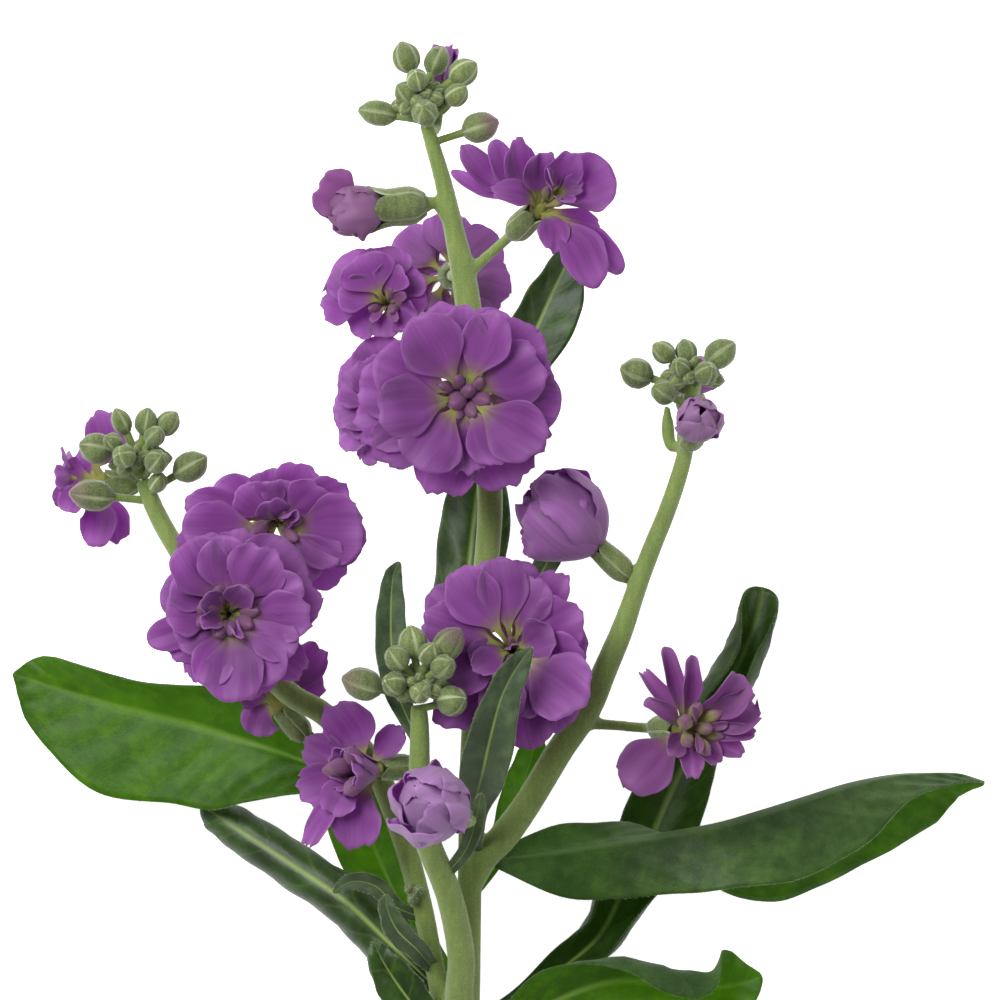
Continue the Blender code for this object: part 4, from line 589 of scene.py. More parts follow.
HOODS = {
    "bloom_main_front": [(210, 12, 10.4, 2.1), (153, 27, 11.4, 1.5), (351, 23, 11.0, 1.9),
                         (297, 20, 10.4, 1.7), (60, 9, 10.4, 1.7), (112, 21, 11.4, 1.6),
                         (48, 23, 11.4, 1.6), (250, 24, 10.0, 1.5)],
    "bloom_main_left": [(60, 22, 7.4, 1.2), (200, 24, 7.0, 1.2), (320, 18, 7.2, 1.2)],
    "bloom_main_side": [(90, 20, 7.4, 1.3), (230, 20, 7.4, 1.3)],
    "bloom_centre": [(100, 14, 7.6, 1.1), (240, 16, 7.2, 1.1), (350, 24, 7.2, 1.0)],
    "bloom_upper_right": [(60, 20, 6.0, 0.9), (180, 22, 6.0, 0.9), (300, 20, 6.0, 0.9)],
    "bloom_left_back": [(115, 20, 11.4, 1.6), (60, 18, 10.6, 1.4), (330, 22, 11.0, 1.6),
                        (20, 24, 11.4, 1.6), (190, 24, 11.4, 1.6)],
    "bloom_left_front": [(55, 30, 12.6, 2.1), (166, 26, 12.8, 2.0), (196, 29, 12.4, 1.9),
                         (242, 21, 12.0, 1.8), (280, 18, 11.4, 1.5), (333, 22, 12.0, 1.7),
                         (112, 27, 12.0, 1.8), (8, 27, 12.0, 1.7)],
    "bloom_front_open": [(60, 30, 9.0, 1.9), (180, 30, 9.0, 2.0), (300, 30, 9.0, 1.9),
                         (120, 8, 9.4, 1.7)],
    "bloom_right": [(40, 34, 8.6, 1.5), (100, 36, 8.0, 1.4), (160, 34, 8.6, 1.6),
                    (220, 36, 8.0, 1.4), (280, 34, 8.6, 1.5), (340, 36, 8.0, 1.4), (0, 5, 7.6, 1.4)],
}

# Flowers whose hoods are still green, how faded the older flowers are, and the small petals
# beside the hoods
GREEN_HEARTS = ("bloom_right", "bloom_centre", "bloom_upper_right")
AGED = {"bud_opening_left": 0.55, "bloom_right": 0.3, "bud_opening_right": 0.35}
HEARTS = {
    "bloom_main_left": ring(even(5, 20), 6.4, 2.2, 16, 60, 2.6, 0.8, seed=47),
    "bloom_upper_right": ring(even(6, 10), 6.4, 2.0, 16, 50, 3.0, 0.8, seed=50),
    "bloom_main_side": ring(even(4, 20), 6.4, 2.2, 16, 60, 3.0, 0.8, seed=53),
    "bloom_centre": (
        ring([40, 112, 184, 256, 328], 6.2, 2.4, 16, 60, 3.4, 0.7, seed=57)
        + ring([95], 7.6, 4.6, 30, -30, 3.6, 1.1, seed=97)),
    "bloom_left_back": ring([-40, 200, 20, 240], 6.4, 2.6, 20, 60, 3.0, 0.8, seed=61),
    "bloom_left_front": ring([-70, 0, 70, 200], 6.4, 2.8, 20, 60, 3.0, 0.8, seed=63),
    "bloom_right": ring(even(3, 10), 7.6, 2.4, 14, 60, 2.6, 1.6, seed=71),
}

# Buds of the heads with a flushed tip, and how far
RIPE_BUDS = {(-3.8, 74.6, 32.5): 1.0, (-10.2, -28.6, 49.5): 0.9, (-27.6, -36.6, 47.0): 0.6,
             (-81.8, 1.0, 29.0): 0.7}


# Leaves: look, wave of the margin, and rows of x, y, z and half width, with a fold and a curl
# in degrees where the leaf isn't flat, or with left and right half width, lean, two folds and
# two curls where its halves differ

LEAVES = {
    "leaf_left_large": ("bright", (1.0, 2.0, 0.6), [
        (-23.6, -57.6, 25.0, 1.6), (-36.0, -53.5, 17.5, 6.5, 5.5, 0, 10, 10, 20, 20),
        (-46.0, -50.0, 12.6, 12.0, 10.0, 0, 8, 10, 15, 20),
        (-54.0, -47.5, 10.2, 15.5, 12.5, 0, 0, 15, 10, 50),
        (-62.0, -45.0, 8.2, 16.5, 14.0, 0, 0, 18, 5, 75),
        (-76.0, -41.5, 5.2, 18.0, 11.0, 0, 0, 20, 0, 75),
        (-87.0, -38.4, 2.4, 12.5, 8.0, 0, 0, 15, 0, 50),
        (-94.5, -36.0, 0.8, 6.5, 5.0, 0, 0, 5, 0, 20), (-98.0, -35.0, 0.45, 1.6)]),
    "leaf_left_rolled": ("dark", (0.3, 2.0, 0.6), [
        (-13.2, -97.4, 19.8, 1.6), (-22.0, -89.0, 18.5, 7.0, 0, -70),
        (-31.0, -80.5, 17.0, 9.5, 0, -120), (-42.0, -73.0, 13.4, 9.5, 0, -125),
        (-52.0, -66.5, 9.4, 8.5, 0, -120), (-57.5, -63.0, 6.5, 5.5, 0, -95),
        (-60.0, -61.4, 4.6, 2.2, 0, -60)]),
    "leaf_right_folded": ("bright", (0.3, 3.0, 0.5), [
        (-1.4, -72.0, 24.4, 1.6, 1.6, 180, 0, 0, 0, 0),
        (12.0, -70.4, 21.5, 9.5, 5.5, 178, 8, 10, 10, 10),
        (22.0, -69.0, 19.8, 11.0, 5.5, 170, 10, 16, 12, 15),
        (33.0, -67.2, 19.6, 12.0, 9.0, 142, 26, 46, 14, 20),
        (43.0, -65.6, 19.0, 14.0, 16.0, 108, 40, 64, 12, 12),
        (52.0, -63.0, 17.0, 16.5, 20.0, 98, 48, 68, 10, 6),
        (61.0, -60.2, 14.2, 16.0, 19.5, 94, 50, 66, 10, 6),
        (70.0, -57.4, 11.8, 14.0, 18.0, 92, 48, 64, 10, 6),
        (79.0, -55.6, 9.6, 8.0, 15.5, 90, 42, 62, 6, 6),
        (87.0, -55.2, 7.8, 4.6, 12.5, 88, 34, 56, 0, 6),
        (92.5, -55.4, 6.6, 3.6, 8.5, 85, 30, 52, 0, 6),
        (97.4, -57.0, 5.4, 1.8, 3.0, 80, 10, 35, 0, 0)]),
    "leaf_right_upright": ("dark", (0.4, 3.0, 0.4), [
        (-5.0, -105.5, 18.0, 1.6), (4.0, -100.5, 9.0, 2.8, 10, 20), (12.0, -94.5, 3.6, 5.5, 15, 60),
        (20.0, -87.5, 1.2, 9.5, 10.0, 0, 10, 10, 110, 110),
        (25.0, -78.0, 0.45, 11.0, 11.5, 0, 5, 5, 110, 100),
        (30.0, -68.5, 0.45, 12.0, 12.0, 0, 5, 5, 90, 75),
        (34.5, -58.5, 0.45, 13.0, 11.5, 0, 5, 5, 100, 80),
        (40.0, -47.0, 0.45, 12.0, 11.5, 0, 0, 0, 135, 125),
        (47.0, -35.0, 0.45, 12.0, 11.0, 0, 0, 0, 160, 145),
        (51.0, -26.0, 0.45, 11.0, 10.0, 0, 0, 0, 160, 150),
        (53.0, -17.6, 0.45, 9.5, 8.5, 0, 0, 0, 150, 140)]),
    "leaf_right_low": ("bright", (0.5, 2.0, 0.4), [
        (-6.0, -114.0, 17.6, 1.6), (4.0, -104.8, 16.0, 5.0, 10, 20),
        (12.6, -99.8, 14.5, 10.0, 9.0, 0, 12, 0, 70, 10),
        (23.2, -96.6, 12.2, 14.0, 11.0, 0, 12, 0, 135, 10),
        (33.0, -97.4, 10.2, 14.0, 10.5, 0, 15, 0, 170, 15),
        (40.5, -98.0, 8.8, 12.5, 9.0, 0, 15, 5, 165, 30),
        (45.0, -97.8, 8.2, 10.0, 8.0, 0, 12, 10, 60, 40),
        (49.0, -97.0, 8.2, 7.0, 6.4, 0, 10, 10, 25, 40),
        (52.6, -95.6, 8.6, 2.8, 3.2, 0, 0, 0, 0, 20)]),
    "leaf_upper_right": ("dark", (0.4, 2.0, 0.4), [
        (-3.4, 14.0, 28.0, 1.6), (2.4, 24.0, 24.0, 4.5, 10, 20),
        (6.6, 33.0, 22.5, 6.5, 7.0, 0, 15, 5, 40, 15), (10.2, 41.0, 22.0, 6.5, 7.0, 0, 15, 5, 60, 15),
        (13.4, 47.6, 22.0, 4.0, 4.0, 0, 15, 5, 50, 15), (15.4, 51.4, 21.6, 1.4)]),
    "leaf_behind_main": ("dark", (0.6, 2.0, 0.4), [
        (-4.4, -32.0, 26.2, 1.4), (-7.0, -24.0, 21.0, 6.0, 4.0, 0, 0, 0, -20, -20),
        (-6.4, -14.0, 18.5, 7.0, 7.0, 0, 0, 0, -40, -20),
        (-5.2, -3.0, 17.5, 7.0, 7.5, 0, 0, 0, -40, -20),
        (-4.2, 5.0, 17.0, 4.5, 5.0, 0, 0, 0, -20, -20), (-3.6, 10.0, 17.0, 1.4)]),
    "leaf_small_centre": ("grey", (0.2, 2.0, 0.4), [
        (-3.4, -26.4, 27.0, 1.2), (3.4, -20.6, 23.6, 2.2, 10, 30), (8.0, -15.0, 22.6, 2.8, 10, 40),
        (11.0, -9.0, 22.0, 2.4, 10, 30), (12.6, -4.0, 21.6, 1.2)]),
    "leaf_narrow_upright": ("grey", (0.3, 2.0, 0.4), [
        (-16.4, -48.0, 42.2, 1.2), (-20.4, -38.6, 38.0, 2.6, 10, 10),
        (-21.6, -30.0, 36.6, 3.4, 10, 20), (-21.8, -22.0, 36.0, 3.0, 10, 20),
        (-21.4, -15.6, 36.0, 2.0, 10, 10), (-20.2, -12.4, 37.0, 1.2)]),
    "leaf_front_tall": ("grey", (0.5, 3.0, 0.4), [
        (-5.6, -73.0, 23.4, 1.4), (-5.2, -62.0, 35.0, 3.0, 20, 10),
        (-3.4, -54.0, 43.6, 5.2, 5.2, 0, 20, 20, 20, 10),
        (-1.6, -46.0, 48.0, 5.0, 5.4, 0, 20, 20, 20, 10),
        (0.4, -39.0, 50.6, 3.8, 4.2, 0, 20, 20, 20, 10),
        (3.2, -33.6, 52.0, 3.0, 3.0, 0, 15, 15, 20, 10), (6.4, -29.4, 52.6, 1.4)]),
    "leaf_bright_behind": ("bright", (0.3, 2.0, 0.4), [
        (-5.6, -79.0, 22.2, 1.2), (0.6, -68.0, 16.6, 3.0, 10, 20), (4.0, -59.0, 15.4, 4.0, 10, 20),
        (6.4, -51.4, 15.0, 3.2, 10, 20), (7.6, -46.0, 15.0, 1.2)]),
    "leaf_bright_left": ("bright", (0.4, 2.0, 0.4), [
        (-7.4, -99.0, 18.8, 1.4), (-13.5, -91.5, 12.0, 2.6, 10, 10), (-19.0, -83.0, 8.6, 4.5, 10, 20),
        (-22.8, -75.5, 7.0, 6.8, 8, 20), (-26.0, -68.0, 6.4, 8.0, 8, 20),
        (-28.6, -60.0, 7.0, 7.0, 8, 20), (-30.4, -52.0, 8.5, 1.6)]),
    "leaf_axil_curved": ("grey", (0.0, 0.0, 0.0), [
        (-15.6, -83.6, 21.8, 1.0), (-20.6, -81.6, 24.0, 1.5), (-24.8, -77.4, 25.0, 1.9, 10, 0),
        (-29.6, -76.4, 24.2, 1.7, 10, 0), (-33.4, -78.6, 22.4, 1.0)]),
    "leaf_axil_folded": ("grey", (0.2, 1.0, 0.4), [
        (-13.2, -94.0, 20.6, 1.2), (-16.6, -90.0, 27.4, 2.4, 20, 20),
        (-20.6, -86.0, 29.4, 3.0, 20, 30), (-22.6, -81.6, 30.4, 2.0, 20, 20),
        (-22.8, -79.0, 30.8, 1.1)]),
    "leaf_axil_low": ("dark", (0.4, 2.0, 0.4), [
        (-9.2, -112.0, 17.2, 1.4), (-15.2, -104.0, 22.6, 4.0, 15, 20),
        (-19.8, -98.0, 23.4, 5.0, 15, 25), (-23.2, -92.8, 23.6, 3.6, 15, 20),
        (-25.4, -88.4, 23.4, 1.3)]),
    "leaf_small_grey": ("grey", (0.0, 0.0, 0.0), [
        (-11.4, -75.6, 34.4, 1.0), (-6.8, -69.8, 38.6, 1.5, 10, 0), (-4.8, -63.8, 40.4, 1.7, 10, 0),
        (-3.8, -58.6, 42.4, 1.0)]),
}

# Skins of the leaves: three greens, how much light comes through, roughness, felt, and how
# clearly the side veins show. Wax gives an upper face its soft gloss and felt makes an
# underside matt and grey. The two waxy faces are one skin in lit and shaded copies: the
# bright one's lighter greens are painted backlight and the dark one's deeper greens painted
# shade. The leathery underside is darker, smoother and less felted.
LEAF_SKINS = {
    "felted_underside": (("shade", "felt", "rib"), 0.12, 0.75, 1.0, 0.12),
    "backlit_underside": (("shade", "felt", "rib"), 0.6, 0.7, 0.6, 0.1),
    "leathery_underside": (("deep", "dark_bare", "felt"), 0.35, 0.5, 0.3, 0.05),
    "waxy_dark_face": (("deep", "dark", "rib"), 0.2, 0.42, 0.0, 0.1),
    "waxy_bright_face": (("dark", "bright", "rib"), 0.68, 0.42, 0.0, 0.1),
    "downy_young_face": (("shade", "felt", "rib"), 0.15, 0.6, 0.6, 0.0),
}
# Looks of the leaves: bright is the waxy face's lit copy with painted backlight, dark its shaded copy
# with painted shade, and grey a young leaf's own downy face
LEAF_FACES = {"dark": ("waxy_dark_face", "felted_underside"),
              "bright": ("waxy_bright_face", "backlit_underside"),
              "grey": ("downy_young_face", "felted_underside")}

# Leaves whose underside is drawn darker green, smoother and with little felt
BARE_BACKS = ("leaf_right_folded", "leaf_right_upright")

# Heads of buds: hub, way it grows, and buds as x, y, z, length and radius

HEADS = {
    "bud_head_main": ((-14.9, 76.2, 31.6), (-0.25, 0.95, 0.15), [
        (-18.8, 88.6, 32.0, 6.4, 2.5), (-12.6, 88.0, 30.0, 6.2, 2.3), (-7.2, 85.6, 32.5, 6.2, 2.5),
        (-18.8, 81.4, 34.5, 5.2, 2.1), (-16.6, 84.0, 37.0, 5.0, 2.0), (-8.6, 81.0, 35.0, 5.2, 2.1),
        (-15.0, 77.4, 38.5, 5.6, 2.4), (-24.6, 77.4, 31.5, 7.6, 2.4), (-3.8, 74.6, 32.5, 7.4, 2.9)]),
    "bud_head_left": ((-71.45, 4.2, 26.55), (-0.2, 0.95, 0.2), [
        (-75.8, 15.8, 29.0, 5.6, 1.8), (-70.8, 15.8, 30.0, 5.6, 2.1), (-66.4, 15.4, 29.0, 5.6, 2.1),
        (-69.0, 12.8, 33.0, 4.6, 1.9), (-81.0, 10.4, 30.0, 6.6, 2.9), (-77.4, 11.6, 33.0, 4.6, 1.7),
        (-75.2, 8.8, 35.0, 4.6, 2.2), (-68.6, 7.8, 33.0, 5.4, 2.2), (-68.4, 3.6, 30.0, 5.0, 1.7),
        (-61.8, 6.8, 29.0, 7.4, 2.8), (-81.8, 1.0, 29.0, 9.0, 2.9)]),
    "bud_head_right": ((38.3, 20.8, 33.2), (0.0, 1.0, 0.15), [
        (27.2, 25.4, 34.0, 6.6, 2.8), (44.2, 29.4, 34.0, 6.8, 2.7), (32.6, 21.6, 38.0, 5.4, 2.3),
        (41.2, 25.4, 38.5, 5.2, 2.1), (32.6, 29.6, 34.0, 5.0, 2.0), (37.2, 29.8, 33.0, 5.0, 2.0),
        (36.0, 26.6, 38.5, 4.4, 1.7)]),
    "bud_head_front": ((-16.2, -40.2, 44.7), (0.0, 0.9, 0.45), [
        (-17.4, -28.2, 49.0, 6.6, 2.7), (-20.6, -31.4, 51.0, 5.4, 2.3), (-14.0, -30.6, 51.5, 5.0, 2.1),
        (-10.2, -28.6, 49.5, 7.6, 2.7), (-11.2, -33.2, 53.0, 5.2, 2.3), (-21.2, -36.6, 51.0, 5.2, 2.2),
        (-15.8, -38.4, 53.5, 4.4, 1.9), (-9.4, -40.0, 49.5, 6.2, 2.8), (-27.6, -36.6, 47.0, 8.2, 3.0)]),
}

# Hub of a head by height and radius, small buds that crowd it and how far they spread in
# degrees, and where the larger buds' stalks leave it
HUB = ((GAP, 1.5), (2.0, 1.9), (4.0, 2.1), (5.6, 1.2))
SMALL_BUDS = 22
SMALL_LENGTH, SMALL_RADIUS = 3.2, 1.25
SMALL_FIRST, SMALL_SPREAD = 12.0, 92.0
HUB_FOOT, HUB_HEIGHT, STALK_DROP = -5.0, 4.2, 4.0

# Feet of the tiny buds in the left shoot's axil, and the small pod as x, y, z and radius
AXIL_BUDS = [(-18.0, -78.0, 21.8), (-16.4, -78.4, 22.8), (-17.4, -80.0, 23.2)]
AXIL_LENGTH, AXIL_RADIUS = 4.2, 1.15
POD = [(37.2, 12.0, 33.0, 0.9), (34.4, 10.4, 31.0, 1.0), (33.6, 14.0, 30.0, 1.4),
       (33.4, 18.8, 29.5, 0.6)]


# Camera: the middle of its view, in metres, and its lens and sensor, in millimetres
VIEW_X, VIEW_Y, VIEW_Z = 0.006, 0.181, 0.03
CAMERA_LENS = 900.0
CAMERA_SENSOR = 36.0

# Table and lamps, in metres: reach of the table, and each lamp's name, place and size
TABLE_REACH = 3.0
LAMPS = (("lamp_large", (-0.55, 0.45, 0.85), 0.7), ("lamp_small", (0.8, -0.2, 0.5), 0.4))


# Leaves

def leaf_row(x, y, z, half, *rest):
    """All ten numbers of a leaf's row, also from one that is flat or has like halves."""
    if len(rest) > 2:
        return (x, y, z, half, *rest)
    fold, curl = rest or (0, 0)
    return x, y, z, half, half, 0, fold, fold, curl, curl


def leaf_stations(rows):
    """Stations of a leaf from rows of x, y, z, left, right, lean, folds and curls.

    The upper face looks up where the lean is 0 and down where it is 180; folds
    and curls, in degrees, bring each half towards the upper face."""
    ahead = unit(np.gradient(rows[:, :3], axis=0))
    up = np.array([0.0, 0.0, 1.0]) - ahead * ahead[:, 2:3]
    lean = np.radians(rows[:, 5])
    up = np.array([turned(unit(u), a, x) for u, a, x in zip(up, ahead, lean)])
    return np.column_stack([rows[:, :3], up, rows[:, 3:5], np.radians(rows[:, 6:10])])


def leaf_shape(rows, wave, pucker, draw):
    """Leaf with a sunk midrib above, a raised one below and puckers between its side veins."""
    rows = np.array([leaf_row(*row) for row in rows], float)
    widest = rows[:, 3:5].max()
    length = np.linalg.norm(np.diff(rows[:, :3], axis=0), axis=1).sum()
    fine = (SMALL_LEAF_ROWS, SMALL_LEAF_COLS) if length < SMALL_LEAF else (LEAF_ROWS, LEAF_COLS)
    grid, s, t, half = sheet(leaf_stations(rows), *fine, LEAF_TIP_ROUND, wave)
    side = np.abs(t)
    veins = length / VEIN_SPACING
    quilt = np.abs(np.sin(math.pi * (veins * (s - VEIN_SLANT * side) + draw.uniform(0, 1)))) ** 0.7
    room = side ** 0.5 * (1.0 - side ** 3) * smooth(s / 0.12) * smooth((1 - s) / 0.1)
    relief = pucker * min(1.0, widest / PUCKERED_WIDTH) * room * (quilt - 0.5)
    bend = 0.25 * pucker * side ** 2 * np.sin(2 * math.pi * 5.3 * s + 2.0 * np.sign(t))
    from_rib = side * half
    rib = np.exp(-(from_rib / RIB_WIDTH) ** 2) * (1.0 - 0.7 * s)
    body = LEAF_THICK / 2 * (0.5 + 0.5 * (1.0 - side ** 4))
    upper = body + relief + bend - RIB_SUNK * rib
    lower = body - relief - bend + RIB_RAISED * rib
    return thick_sheet(grid, upper, lower, s, t, draw.uniform(0.0, 1.0), veins)


# Buds, calyxes and flower hearts: girth of a bud and of a folded petal from foot to tip

BUD_PROFILE = (0.4, 0.86, 1.0, 0.97, 0.74, 0.16)
HOOD_PROFILE = (0.3, 0.34, 0.48, 0.8, 1.0, 0.82, 0.2)


def bud_shape(foot, axis, length, radius, draw, ripe=0.0, profile=BUD_PROFILE):
    """Bud of four sepals that meet in seams and close over the tip."""
    axis = unit(np.asarray(axis, float))
    foot = np.asarray(foot, float)
    s = np.linspace(0.0, 1.0, BUD_RINGS)
    plump = spline(np.array(profile)[:, None], s)[:, 0]
    turn = np.arange(BUD_SIDES) * 2 * math.pi / BUD_SIDES + draw.uniform(0.0, 1.5)
    seam = np.abs((turn * 2 / math.pi) % 1.0 - 0.5) * 2.0
    valley = smooth((s - 0.1) / 0.5)[:, None] * np.exp(-((1.0 - seam) / 0.22) ** 2)[None, :]
    spokes = radius * plump[:, None] * (1.0 - 0.16 * valley)
    lobes = foot + axis * length * s[:, None]
    shape = turned_body(lobes, [axis] * len(s), spokes, draw.uniform(0.0, 1.0), ripe)
    return shape._replace(across=np.tile(seam, len(s)))


def sepal_shapes(foot, facing, length, radius, flare, draw):
    """Four felted sepals that stand round the claws of a flower."""
    across, other, _ = flower_frame(facing)
    start = draw.uniform(0.0, 1.5)
    shapes = []
    for n in range(4):
        turn = start + n * math.pi / 2
        out = math.cos(turn) * across + math.sin(turn) * other
        s = np.linspace(0.0, 1.0, SEPAL_STATIONS)
        bulge = spline([(0.55,), (0.98,), (1.04,), (1.0,), (0.45 + flare / 2,), (flare,)], s)[:, 0]
        place = foot + facing * (length * 1.04 * s)[:, None] + out * (radius * bulge)[:, None]
        up = np.tile(-out, (SEPAL_STATIONS, 1))
        wide = spline(np.array(SEPAL_WIDTHS)[:, None], s)[:, 0]
        half = radius * 0.86 * wide
        level = np.zeros(SEPAL_STATIONS)
        wrap = half / (radius * bulge)
        stations = np.column_stack([place, up, half, half, level, level, wrap, wrap])
        grid, s, t, _ = sheet(stations, SEPAL_ROWS, SEPAL_COLS, SEPAL_TIP_ROUND)
        body = np.full(s.shape, SEPAL_THICK)
        keel = SEPAL_KEEL * np.exp(-(t / 0.2) ** 2)
        shapes.append(thick_sheet(grid, body, body + keel, s, t, draw.uniform(0.0, 1.0)))
    return shapes


def calyx_foot(name, bloom):
    """Lower end of a flower's calyx."""
    facing = flower_frame(bloom.axis)[2]
    return np.asarray(bloom.base) - facing * SHORT_CALYX.get(name, CALYX_LENGTH), facing


def stalk_shape(name, bloom):
    """Stalk from the heart of a shoot to the flower's calyx, and the closed receptacle."""
    foot, facing = calyx_foot(name, bloom)
    near = np.concatenate([spline(points, np.linspace(0.0, 1.0, 200)) for points in SHOOTS])[:, :3]
    heart = near[np.argmin(np.linalg.norm(near - bloom.start, axis=1))]
    start = heart * 0.7 + np.asarray(bloom.start) * 0.3
    bend = foot - facing * min(3.0, 0.35 * np.linalg.norm(foot - start))
    length = SHORT_CALYX.get(name, CALYX_LENGTH)
    radius = WIDE_CALYX.get(name, CALYX_RADIUS)
    route = [(*start, STALK_RADIUS * 1.25), (*((start + bend) / 2), STALK_RADIUS),
             (*bend, STALK_RADIUS)]
    route += [(*(foot + facing * length * up), radius * girth) for up, girth in RECEPTACLE]
    return tube(route, STALK_SIDES, STALK_STEP)


def hood_shape(bloom, turn, lean, length, radius, draw, green):
    """Faded petal folded into a plump hood, beside the others at the heart."""
    across, other, facing = flower_frame(bloom.axis)
    turn, lean = math.radians(turn), math.radians(lean)
    out = math.cos(turn) * across + math.sin(turn) * other
    axis = facing * math.cos(lean) + out * math.sin(lean)
    foot = np.asarray(bloom.base) + facing * (GAP + HOOD_SEAT) + out * 0.4
    shape = bud_shape(foot, axis, length, radius, draw, draw.uniform(0.6, 0.9), HOOD_PROFILE)
    if green:
        return shape._replace(along=0.1 + 0.38 * shape.along, trait=shape.trait * 0.3)
    return shape._replace(along=0.3 + 0.5 * shape.along)


def heart_shape(bloom, draw):
    """Small green body that the claws of the petals spring from."""
    facing = flower_frame(bloom.axis)[2]
    foot = np.asarray(bloom.base) + facing * GAP
    shape = bud_shape(foot, facing, CORE_HEIGHT, CORE_RADIUS, draw, 0.0, HOOD_PROFILE[::-1])
    count = len(shape.verts)
    return shape._replace(along=np.zeros(count), across=np.zeros(count))


def small_bud_axes(way, count):
    """Directions of the small buds that crowd a head, in a spiral."""
    across, other, _ = flower_frame(way)
    golden = math.pi * (3.0 - math.sqrt(5.0))
    for n in range(count):
        spread = math.radians(SMALL_FIRST + SMALL_SPREAD * math.sqrt(n / count))
        out = math.cos(golden * n) * across + math.sin(golden * n) * other
        yield way * math.cos(spread) + out * math.sin(spread)


def head_shapes(name, draw):
    """A hub crowded with small buds, and larger buds on short stalks round it."""
    hub, way, buds = HEADS[name]
    hub = np.asarray(hub)
    way = unit(np.asarray(way))
    middle = hub + way * HUB_HEIGHT
    stalks = [tube([(*(hub + way * up), radius) for up, radius in HUB], HUB_SIDES, STALK_STEP)]
    closed = []
    for n, axis in enumerate(small_bud_axes(way, SMALL_BUDS)):
        size = 0.8 + 0.5 * n / SMALL_BUDS
        closed.append(bud_shape(middle + axis * (1.5 + 1.3 * n / SMALL_BUDS), axis,
                                SMALL_LENGTH * size, SMALL_RADIUS * size, draw))
    for x, y, z, length, radius in buds:
        centre = np.array([x, y, z])
        start = hub + way * np.clip((centre - hub) @ way - STALK_DROP, HUB_FOOT, HUB_HEIGHT)
        axis = unit(centre - start)
        foot = centre - axis * length / 2
        route = [(*(start + axis * 0.4), 0.85), (*((start + foot) / 2), 0.75), (*foot, 0.85),
                 (*(foot + axis * 0.6), radius * 0.42)]
        stalks.append(tube(route, BUD_STALK_SIDES, STALK_STEP))
        ripe = RIPE_BUDS.get((x, y, z), 0.0)
        closed.append(bud_shape(foot, axis, length, radius * 1.1, draw, ripe))
    return stalks, closed


# Stem

def stem_shapes():
    """Main stem, side shoots, flower stalks and the small pod, as overlapping tubes."""
    shapes = [tube(points) for points in SHOOTS]
    shapes += [stalk_shape(name, bloom) for name, bloom in BLOOMS.items()]
    shapes.append(tube(POD, POD_SIDES, STALK_STEP))
    return shapes


def axil_bud_shapes(draw):
    """Tiny buds in the axil of the left shoot."""
    return [bud_shape(foot, (0.0, 0.1, 1.0), AXIL_LENGTH, AXIL_RADIUS, draw)
            for foot in AXIL_BUDS]


# Hairs

def hair_shape(verts, tris, count, length, width, draw):
    """Short spikes that stand on triangles, spread by area, each one thin blade."""
    a, b, c = verts[tris[:, 0]], verts[tris[:, 1]], verts[tris[:, 2]]
    cross = np.cross(b - a, c - a)
    area = np.linalg.norm(cross, axis=1)
    pick = draw.choice(len(tris), count, p=area / area.sum())
    u, v = np.sqrt(draw.random(count))[:, None], draw.random(count)[:, None]
    root = a[pick] * (1 - u) + b[pick] * u * (1 - v) + c[pick] * u * v
    normal = unit(cross[pick])
    spin = unit(draw.normal(size=(count, 3)))
    way = unit(normal + HAIR_LEAN * spin)
    flat = unit(np.cross(way, spin))
    reach = length * draw.uniform(0.5, 1.0, (count, 1))
    tip = root + way * reach
    tip[:, 2] = np.maximum(tip[:, 2], 0.0)
    verts = np.concatenate([root - flat * width / 2, root + flat * width / 2, tip])
    n = np.arange(count)
    faces = np.stack([n, n + count, n + 2 * count], 1)
    zero = np.zeros(3 * count)
    along = np.repeat([0.0, 0.0, 1.0], count)
    return Shape(verts, faces, np.zeros(count, int), along, zero, zero, zero)


# Objects

def mesh_object(name, shapes, finishes, trait="faded", smooth_faces=True):
    """Object made of shapes, in metres, with their values as vertex attributes."""
    verts, faces, looks, values, start = [], [], [], [[], [], [], []], 0
    for shape in shapes:
        verts.append(shape.verts)
        for face in shape.faces:
            faces.append([int(v) + start for v in face])
        looks.append(np.asarray(shape.looks))
        for held, own in zip(values, shape[3:]):
            held.append(own)
        start += len(shape.verts)
    places = np.clip((np.concatenate(verts) - (FLAT_X, FLAT_Y, 0.0)) * MM, *CAD_BOX)
    mesh = bpy.data.meshes.new(name)
    mesh.from_pydata(places.tolist(), [], faces)
    mesh.polygons.foreach_set("material_index", np.concatenate(looks).astype(np.int32))
    for label, held in zip(("along", "across", "tone", trait), values):
        attribute = mesh.attributes.new(label, "FLOAT", "POINT")
        attribute.data.foreach_set("value", np.concatenate(held).astype(np.float32))
    for finish in finishes:
        mesh.materials.append(finish)
    mesh.polygons.foreach_set("use_smooth", np.full(len(mesh.polygons), smooth_faces))
    mesh.update()
    piece = bpy.data.objects.new(name, mesh)
    bpy.context.scene.collection.objects.link(piece)
    return piece


def settle(piece, node, replaced=True):
    """Tie a piece to the object, and hide the solid that it replaces where it replaces one."""
    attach(piece, "root")
    if replaced:
        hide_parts(node)


def surface(shapes, looks=None):
    """Vertices and triangles of shapes, or of their faces of one material number."""
    verts, tris, start = [], [], 0
    for shape in shapes:
        for face, look in zip(shape.faces, shape.looks):
            if looks is None or look in looks:
                tris += [(face[0] + start, face[i] + start, face[i + 1] + start)
                         for i in range(1, len(face) - 1)]
        verts.append(shape.verts)
        start += len(shape.verts)
    return np.concatenate(verts), np.array(tris)


